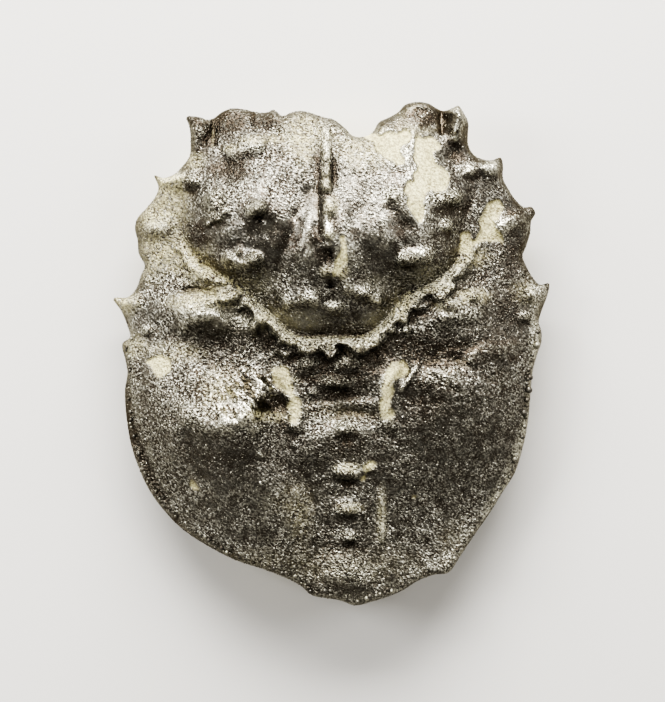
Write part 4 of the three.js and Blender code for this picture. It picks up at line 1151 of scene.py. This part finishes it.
# a pattern: features per mm, the noise at which it starts and is full, then detail and roughness
BROAD_TINT = (0.18, 0.4, 0.62)
FINE_TINT = (1.6, 0.35, 0.68, 5.0)
PATCHES = (0.8, 0.38, 0.62)
SPARKS = (4.5, 0.69, 0.76, 1.0)
WEAR = (1.5, 0.3, 0.52)
BLOTCHES = (3.2, 0.58, 0.44, 6.0, 0.7)
CLOUDS = (0.5, 0.3, 0.7)
SAND = (5.0, 0.42, 0.57, 6.0, 0.75)
DUST_PATCHES = (3.6, 0.39, 0.53, 6.0, 0.75)
print("largest features, mm:", round(1 / BROAD_TINT[0], 1), "smallest:", 1 / SAND[0])


# %% Short ways to write patterns
def object_space(tree):
    return tree.add("ShaderNodeTexCoord")["Object"]


def noise(tree, place, scale, detail=3.0, roughness=0.55):
    inputs = {"Vector": place, "Scale": scale, "Detail": detail, "Roughness": roughness}
    return tree.first("ShaderNodeTexNoise", inputs)


def ramp(tree, value, low, high):
    """0 below low, 1 above high, smooth between."""
    inputs = {"Value": value, "From Min": low, "From Max": high}
    return tree.first("ShaderNodeMapRange", inputs, interpolation_type="SMOOTHSTEP")


def between(tree, value, low, high, full=1.0):
    """low where the value is 0, high where it is full."""
    return tree.first("ShaderNodeMapRange", {"Value": value, "From Max": full, "To Min": low, "To Max": high})


def pattern(tree, place, per_mm, low, high, *detail):
    return ramp(tree, noise(tree, place, per_mm / MM, *detail), low, high)


def mixed(tree, share, first, second):
    return tree.first("ShaderNodeMix", {"Factor": share, "A": first, "B": second}, data_type="RGBA")


def spread(tree, share, least, added):
    """Moves a share of 0 to 1 to a range that starts at least."""
    return tree.plus(least, tree.times(share, added))


def group_tree(name, *rows):
    tree = Tree(bpy.data.node_groups.new(name, "ShaderNodeTree"))
    return tree, tree.takes(*rows)


# %% Shared colour group: the mineral of the shell
FLECKS_PER_MM = 6.0
FLECK_DETAIL = (2.0, 0.6)
FLECK_EDGE = (0.5, 0.57)
FLECK_GAP_SHADE = (0.47, 0.39)
WORN_FLECKS = (0.46, 0.54)
SCALES_PER_MM = 5.0
SCALE_GAP_SHADE = (0.6, 0.85)
SCALE_HEIGHT = 0.6
FILM_TONES = (0.5, 1.2)
PATCH_CONTRAST = (0.5, 0.8)  # least, and what the pattern adds to it
WORN_SHARE = (0.3, 0.7)
BLOTCH_SHARE = (0.4, 0.6)
GLOSS_PER_MM = 2.5
GLOSS = (0.2, 0.38)
DARK_SHARE = 0.92


def mineral_group():
    tree, given = group_tree(
        "ShellMineral", ("Crest", "Float", 0.0), ("Hollow", "Float", 0.0), ("Stain", "Float", 0.0),
        ("Coarse", "Float", 0.0), ("Tone", "Float", 0.5), ("Flecks", "Vector", (0.0, 0.0, 0.0)))
    place = object_space(tree)
    brown = mixed(tree, pattern(tree, place, *BROAD_TINT), BROWN, PALER_BROWN)
    tinted = mixed(tree, pattern(tree, place, *FINE_TINT), brown, GREY_BROWN)
    grain = noise(tree, given["Flecks"], FLECKS_PER_MM / MM, *FLECK_DETAIL)
    scales = tree.add("ShaderNodeTexVoronoi", {"Vector": given["Flecks"], "Scale": SCALES_PER_MM / MM})
    contrast = tree.times(given["Coarse"], spread(tree, pattern(tree, place, *PATCHES), *PATCH_CONTRAST))
    bright = tree.times(ramp(tree, grain, *FLECK_EDGE), contrast, tree.minus(1.0, given["Stain"]))
    flecked = mixed(tree, tree.maths("MINIMUM", bright, 1.0), tinted, FLECK_COLOUR)
    filmed = mixed(tree, ramp(tree, given["Tone"], *FILM_TONES), flecked, FILM_COLOUR)
    sparks = pattern(tree, place, *SPARKS)
    sparkling = mixed(tree, sparks, filmed, SPARK_COLOUR)
    worn_share = tree.times(given["Crest"], pattern(tree, place, *WEAR))
    worn_share = tree.times(worn_share, spread(tree, ramp(tree, grain, *WORN_FLECKS), *WORN_SHARE))
    worn = mixed(tree, worn_share, sparkling, WORN_COLOUR)
    stain_and_shadow = tree.times(given["Stain"], spread(tree, pattern(tree, place, *BLOTCHES), *BLOTCH_SHARE))
    # painted shade: the low gaps between flecks and the edges of the scales, where the bump is lowest, are
    # darkened
    gap_shade = tree.largest(ramp(tree, grain, *FLECK_GAP_SHADE), ramp(tree, scales["Distance"], *SCALE_GAP_SHADE))
    pit_shade = tree.maths("MINIMUM", tree.times(gap_shade, contrast), 1.0)
    # painted shade in hollows and pits, with the stains and their painted shadow, mixed towards one dark
    # brown
    shade_and_stain = tree.times(tree.largest(given["Hollow"], stain_and_shadow, pit_shade), DARK_SHARE, tree.minus(1.0, sparks))
    return tree.gives(
        Colour=mixed(tree, shade_and_stain, worn, SHADE_AND_STAIN_BROWN),
        Roughness=between(tree, noise(tree, place, GLOSS_PER_MM / MM), *GLOSS),
        Height=tree.times(tree.minus(grain, tree.times(scales["Distance"], SCALE_HEIGHT)), contrast),
        Hole=pit_shade)


MINERAL = mineral_group()


# %% Shared colour group: the pale rock
def rock_group():
    tree, _ = group_tree("PaleRock")
    place = object_space(tree)
    cream = mixed(tree, pattern(tree, place, *CLOUDS), CREAM, PALE_CREAM)
    return tree.gives(Colour=mixed(tree, pattern(tree, place, *SAND), SANDY, cream))


ROCK = rock_group()


# %% Shared normal group: crystal facets
def facet_group():
    """Tilts the normal by one random amount in each cell, as small crystal faces do."""
    tree, given = group_tree(
        "CrystalFacets", ("Normal", "Vector", (0.0, 0.0, 1.0)), ("Flecks", "Vector", (0.0, 0.0, 0.0)),
        ("Per Metre", "Float", 6.0 / MM), ("Tilt", "Float", 0.3))
    cells = tree.add("ShaderNodeTexVoronoi", {"Vector": given["Flecks"], "Scale": given["Per Metre"]})
    vectors = "ShaderNodeVectorMath"
    centred = tree.maths("SUBTRACT", cells["Color"], (0.5, 0.5, 0.5), kind=vectors)
    lean_by = tree.first(vectors, operation="SCALE", inputs={"Vector": centred, "Scale": given["Tilt"]})
    leaning = tree.maths("ADD", given["Normal"], lean_by, kind=vectors)
    return tree.gives(Normal=tree.first(vectors, {"Vector": leaning}, operation="NORMALIZE"))


FACETS = facet_group()


# %% The finish of the carapace
SHELL_METALLIC = 0.93
EDGE_TINT = (0.5, 0.48, 0.42)
ROCK_ROUGHNESS = 0.85
LEAST_TONE = 0.2
RIB_STRETCH = (1.7, 0.4, 1.0)
RIB_HEIGHTS = (0.38, 0.62)
RIB_GAP_SHADE = (0.5, 0.4)
BUMP_DEPTH = 0.15 * MM
FACETS_PER_MM = 8.5
FACET_TILTS = (0.16, 0.75)


def mesh_value(tree, name, output="Fac"):
    return tree.add("ShaderNodeAttribute", attribute_name=name)[output]


def new_finish(name):
    """A material with one shader, the tree to feed it with, and the shader's inputs."""
    finish = bpy.data.materials.new(name)
    finish.use_nodes = True
    finish.node_tree.nodes.clear()
    tree = Tree(finish.node_tree)
    shader = finish.node_tree.nodes.new("ShaderNodeBsdfPrincipled")
    tree.add("ShaderNodeOutputMaterial", {"Surface": shader.outputs["BSDF"]})
    tree.feed(shader.inputs["Specular Tint"], EDGE_TINT)
    return finish, tree, shader.inputs


def carapace_finish():
    finish, tree, shader = new_finish("fossil_shell")
    stain_shadow_mask = mesh_value(tree, "stain_and_shadow")
    coarse = mesh_value(tree, "coarse")
    ribbed = mesh_value(tree, "ray_share")
    laid = mesh_value(tree, "laid", "Vector")
    mineral = tree.add("ShaderNodeGroup", node_tree=MINERAL, inputs={
        "Crest": mesh_value(tree, "crest"), "Hollow": mesh_value(tree, "hollow_shade"), "Stain": stain_shadow_mask,
        "Coarse": coarse, "Flecks": laid, "Tone": tree.plus(mesh_value(tree, "thin_film"), LEAST_TONE)})
    # pale rock dust, and on the front of each knob partly a painted highlight
    dust_with_highlight = tree.times(
        mesh_value(tree, "dust_and_highlight"), pattern(tree, object_space(tree), *DUST_PATCHES),
        tree.minus(1.0, mineral["Hole"]), tree.minus(1.0, stain_shadow_mask))
    pale = tree.largest(mesh_value(tree, "bare"), dust_with_highlight)
    rays = mesh_value(tree, "rays", "Vector")
    stretched = tree.maths("MULTIPLY", rays, RIB_STRETCH, kind="ShaderNodeVectorMath")
    ribs = tree.first("ShaderNodeTexNoise", {"Vector": stretched, "Scale": 1.0, "Detail": 2.0})
    # painted shade: the low furrows between the ribs are darkened
    rib_gap_shade = tree.times(ramp(tree, ribs, *RIB_GAP_SHADE), ribbed)
    shell_colour = mixed(tree, rib_gap_shade, mineral["Colour"], SHADE_BETWEEN_RIBS)
    rock = tree.add("ShaderNodeGroup", node_tree=ROCK)
    tree.feed(shader["Base Color"], mixed(tree, pale, shell_colour, rock["Colour"]))
    tree.feed(shader["Roughness"], between(tree, pale, mineral["Roughness"], ROCK_ROUGHNESS))
    tree.feed(shader["Metallic"], between(tree, pale, SHELL_METALLIC, 0.0))
    height = between(tree, ribbed, mineral["Height"], ramp(tree, ribs, *RIB_HEIGHTS))
    bump = tree.first("ShaderNodeBump", {"Strength": 1.0, "Distance": BUMP_DEPTH, "Height": height})
    tilt = between(tree, coarse, *FACET_TILTS, full=COARSE_LIMITS[1])
    tree.feed(shader["Normal"], tree.first("ShaderNodeGroup", node_tree=FACETS, inputs={
        "Normal": bump, "Flecks": laid, "Per Metre": FACETS_PER_MM / MM, "Tilt": tilt}))
    return finish


carapace.data.materials.append(carapace_finish())
print("finish:", carapace.data.materials[0].name)


# %% The finish of the grains
GRAIN_ROUGHNESS = 0.5


def grain_finish():
    finish, tree, shader = new_finish("shell_grain")
    mineral = tree.add("ShaderNodeGroup", {"Tone": mesh_value(tree, "tone")}, node_tree=MINERAL)
    tree.feed(shader["Base Color"], mineral["Colour"])
    tree.feed(shader["Roughness"], GRAIN_ROUGHNESS)
    tree.feed(shader["Metallic"], SHELL_METALLIC)
    return finish


SHELL_GRAIN = grain_finish()
print("finish:", SHELL_GRAIN.name)

# %% Grow the grains
GRAIN_SPACING = 0.18 * MM
GRAIN_RADIUS = 0.09 * MM
small_pieces = []
for half, seed in (("front", 5), ("rear", 6)):
    small_pieces.append(grown("grains_" + half, carapace, GRAIN_TREE, **{
        "Least Distance": GRAIN_SPACING, "Radius": GRAIN_RADIUS, "Where": "grain_" + half,
        "Seed": seed, "Finish": SHELL_GRAIN}))

# %% [markdown]
# ### Beads along the margin
#
# The flanks end in rows of small beads, fine on the left and coarser on the right. On the animal they are
# tubercles of the edge itself. A row that follows a path is again work for Geometry Nodes: the path comes
# in as points joined by edges, the tree turns it into a curve, walks it in equal steps, moves each step a
# little at random and puts a bead of varied size there, half sunk in the shell.

# %% The tree that strings beads on a path
BEAD_SHAKE = 0.16 * MM
BEAD_SIZES = (0.3, 1.25)
BEAD_TONES = (0.2, 1.1, 78)


def bead_tree():
    tree, given = geometry_tree(
        "StringBeads", ("Spacing", "Float", 0.35 * MM), ("Radius", "Float", 0.14 * MM))
    curve = tree.first("GeometryNodeMeshToCurve", {"Mesh": given["Geometry"]})
    walk = {"Curve": curve, "Length": given["Spacing"]}
    steps = tree.first("GeometryNodeResampleCurve", walk, mode="LENGTH")
    shake = tree.random((-BEAD_SHAKE,) * 3, (BEAD_SHAKE,) * 3, given["Seed"])
    moved = tree.first("GeometryNodeSetPosition", {"Geometry": steps, "Offset": shake})
    ball = tree.first("GeometryNodeMeshIcoSphere", {"Radius": 1.0, "Subdivisions": 2})
    size = tree.times(given["Radius"], tree.random(*BEAD_SIZES, given["Seed"]))
    return tree.gives(Geometry=scattered(
        tree, (size,) * 3, BEAD_TONES, given["Finish"], Points=moved, Instance=ball))


BEAD_TREE = bead_tree()

# %% String the beads
MARGIN_INSET = 0.978
BEAD_ROWS = [  # name, path, spacing, radius
    ("left", LEFT_FLANK[2:] + LEFT_SPINES[:3], 0.3, 0.14),
    ("right_fine", RIGHT_FLANK, 0.33, 0.16),
    ("right_large", RIGHT_SPINES[-2:] + RIGHT_FLANK[:7], 0.9, 0.27),
    ("rear", [RIGHT_FLANK[-1]] + REAR_EDGE + LEFT_FLANK[:3], 0.35, 0.17),
]
for seed, (name, path, spacing, radius) in enumerate(BEAD_ROWS):
    x, y = (MARGIN_INSET * smooth_curve(path, 6)).T
    places = to_metres(np.column_stack([x, y, back_height(x, y)]))
    string = mesh_object("string_" + name, places, [(i, i + 1) for i in range(len(places) - 1)], [])
    sizes = {"Spacing": spacing * MM, "Radius": radius * MM}
    small_pieces.append(grown("beads_" + name, string, BEAD_TREE, Seed=seed, Finish=SHELL_GRAIN, **sizes))
    bpy.data.objects.remove(string)

# %% [markdown]
# ## Floor, light and camera
#
# The fossil lies on a pale floor. Its surface is dark and shiny, so it shows the lights more than its own
# colour: a large soft light from beyond the front edge draws every slope that faces forwards, two weaker
# ones open up the flanks, and a dim warm surround keeps the hollows from going black. The camera looks
# straight down from far off through a long lens, which keeps the outline true.

# %% Floor
FLOOR_HALF = 0.5
FLOOR_COLOUR = (0.62, 0.61, 0.59)
FLOOR_ROUGHNESS = 0.9
corners = [(FLOOR_HALF * a, FLOOR_HALF * b, 0) for a, b in ((-1, -1), (1, -1), (1, 1), (-1, 1))]
floor = mesh_object("floor", corners, [], [(0, 1, 2, 3)])
paper, _, paper_inputs = new_finish("floor_paper")
paper_inputs["Base Color"].default_value = (*FLOOR_COLOUR, 1.0)
paper_inputs["Roughness"].default_value = FLOOR_ROUGHNESS
floor.data.materials.append(paper)
print("floor half size, m:", FLOOR_HALF)

# %% Lights
LIGHT_DISTANCE = 0.3
LIGHTS = [  # name, azimuth from the front edge, elevation, width, height, watts, colour
    ("key_front", -4, 28, 0.32, 0.2, 3.65, (1.0, 0.985, 0.95)),
    ("side_left", -75, 38, 0.1, 0.14, 0.5, (1, 1, 1)),
    ("side_right", 70, 38, 0.1, 0.14, 0.3, (1, 1, 1)),
]
SURROUND_COLOUR = (1.0, 0.955, 0.875)
SURROUND_STRENGTH = 0.38


def soft_light(name, azimuth, elevation, width, height, watts, colour):
    """A rectangle of light that looks at the fossil."""
    lamp = bpy.data.lights.new(name, "AREA")
    lamp.shape = "RECTANGLE"
    lamp.size = width
    lamp.size_y = height
    lamp.energy = watts
    lamp.color = colour
    turned = math.radians(azimuth)
    rise = math.radians(elevation)
    level = LIGHT_DISTANCE * math.cos(rise)
    thing = placed(name, lamp)
    thing.location = (level * math.sin(turned), level * math.cos(turned), LIGHT_DISTANCE * math.sin(rise))
    thing.rotation_euler = (math.pi / 2 - rise, 0, math.pi - turned)


for light in LIGHTS:
    soft_light(*light)
world = bpy.data.worlds.new("studio")
world.use_nodes = True
surround = world.node_tree.nodes["Background"].inputs
surround["Color"].default_value = (*SURROUND_COLOUR, 1.0)
surround["Strength"].default_value = SURROUND_STRENGTH
bpy.context.scene.world = world
bpy.context.scene.view_settings.look = "AgX - High Contrast"

# %% Camera
CAMERA_HEIGHT = 0.303
VIEW_HEIGHT = 56.16 * MM
VIEW_UP = 0.2  # how far the view's middle lies in front of the shell's, mm
SENSOR = 36.0
camera_data = bpy.data.cameras.new("camera")
camera_data.sensor_width = SENSOR
camera_data.lens = SENSOR * (CAMERA_HEIGHT - EDGE_HEIGHT * MM) / VIEW_HEIGHT
camera_data.clip_start = 0.01
camera_data.clip_end = 10.0
camera = placed("camera", camera_data)
camera.location = (shell_shift[0] * MM, (VIEW_UP + shell_shift[1]) * MM, CAMERA_HEIGHT)
bpy.context.scene.camera = camera
print("lens, mm:", round(camera_data.lens, 1))

# %% [markdown]
# ## Handing the pieces over
#
# Every piece rides on the one body of the frame. The fine shell stands for the CAD node, so that node is
# hidden and kept for collisions. The grains and the beads ride with it.

# %% Ride, replace and finish
for piece in [carapace, *small_pieces]:
    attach(piece, "root")
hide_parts("carapace")
floor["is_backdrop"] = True

visual_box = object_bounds()
sizes = {
    "cad": [[float(v) for v in corner] for corner in cad_box],
    "visual": [[float(v) for v in corner] for corner in visual_box],
}
print("visual box, mm:", [[round(v / MM, 2) for v in corner] for corner in visual_box])
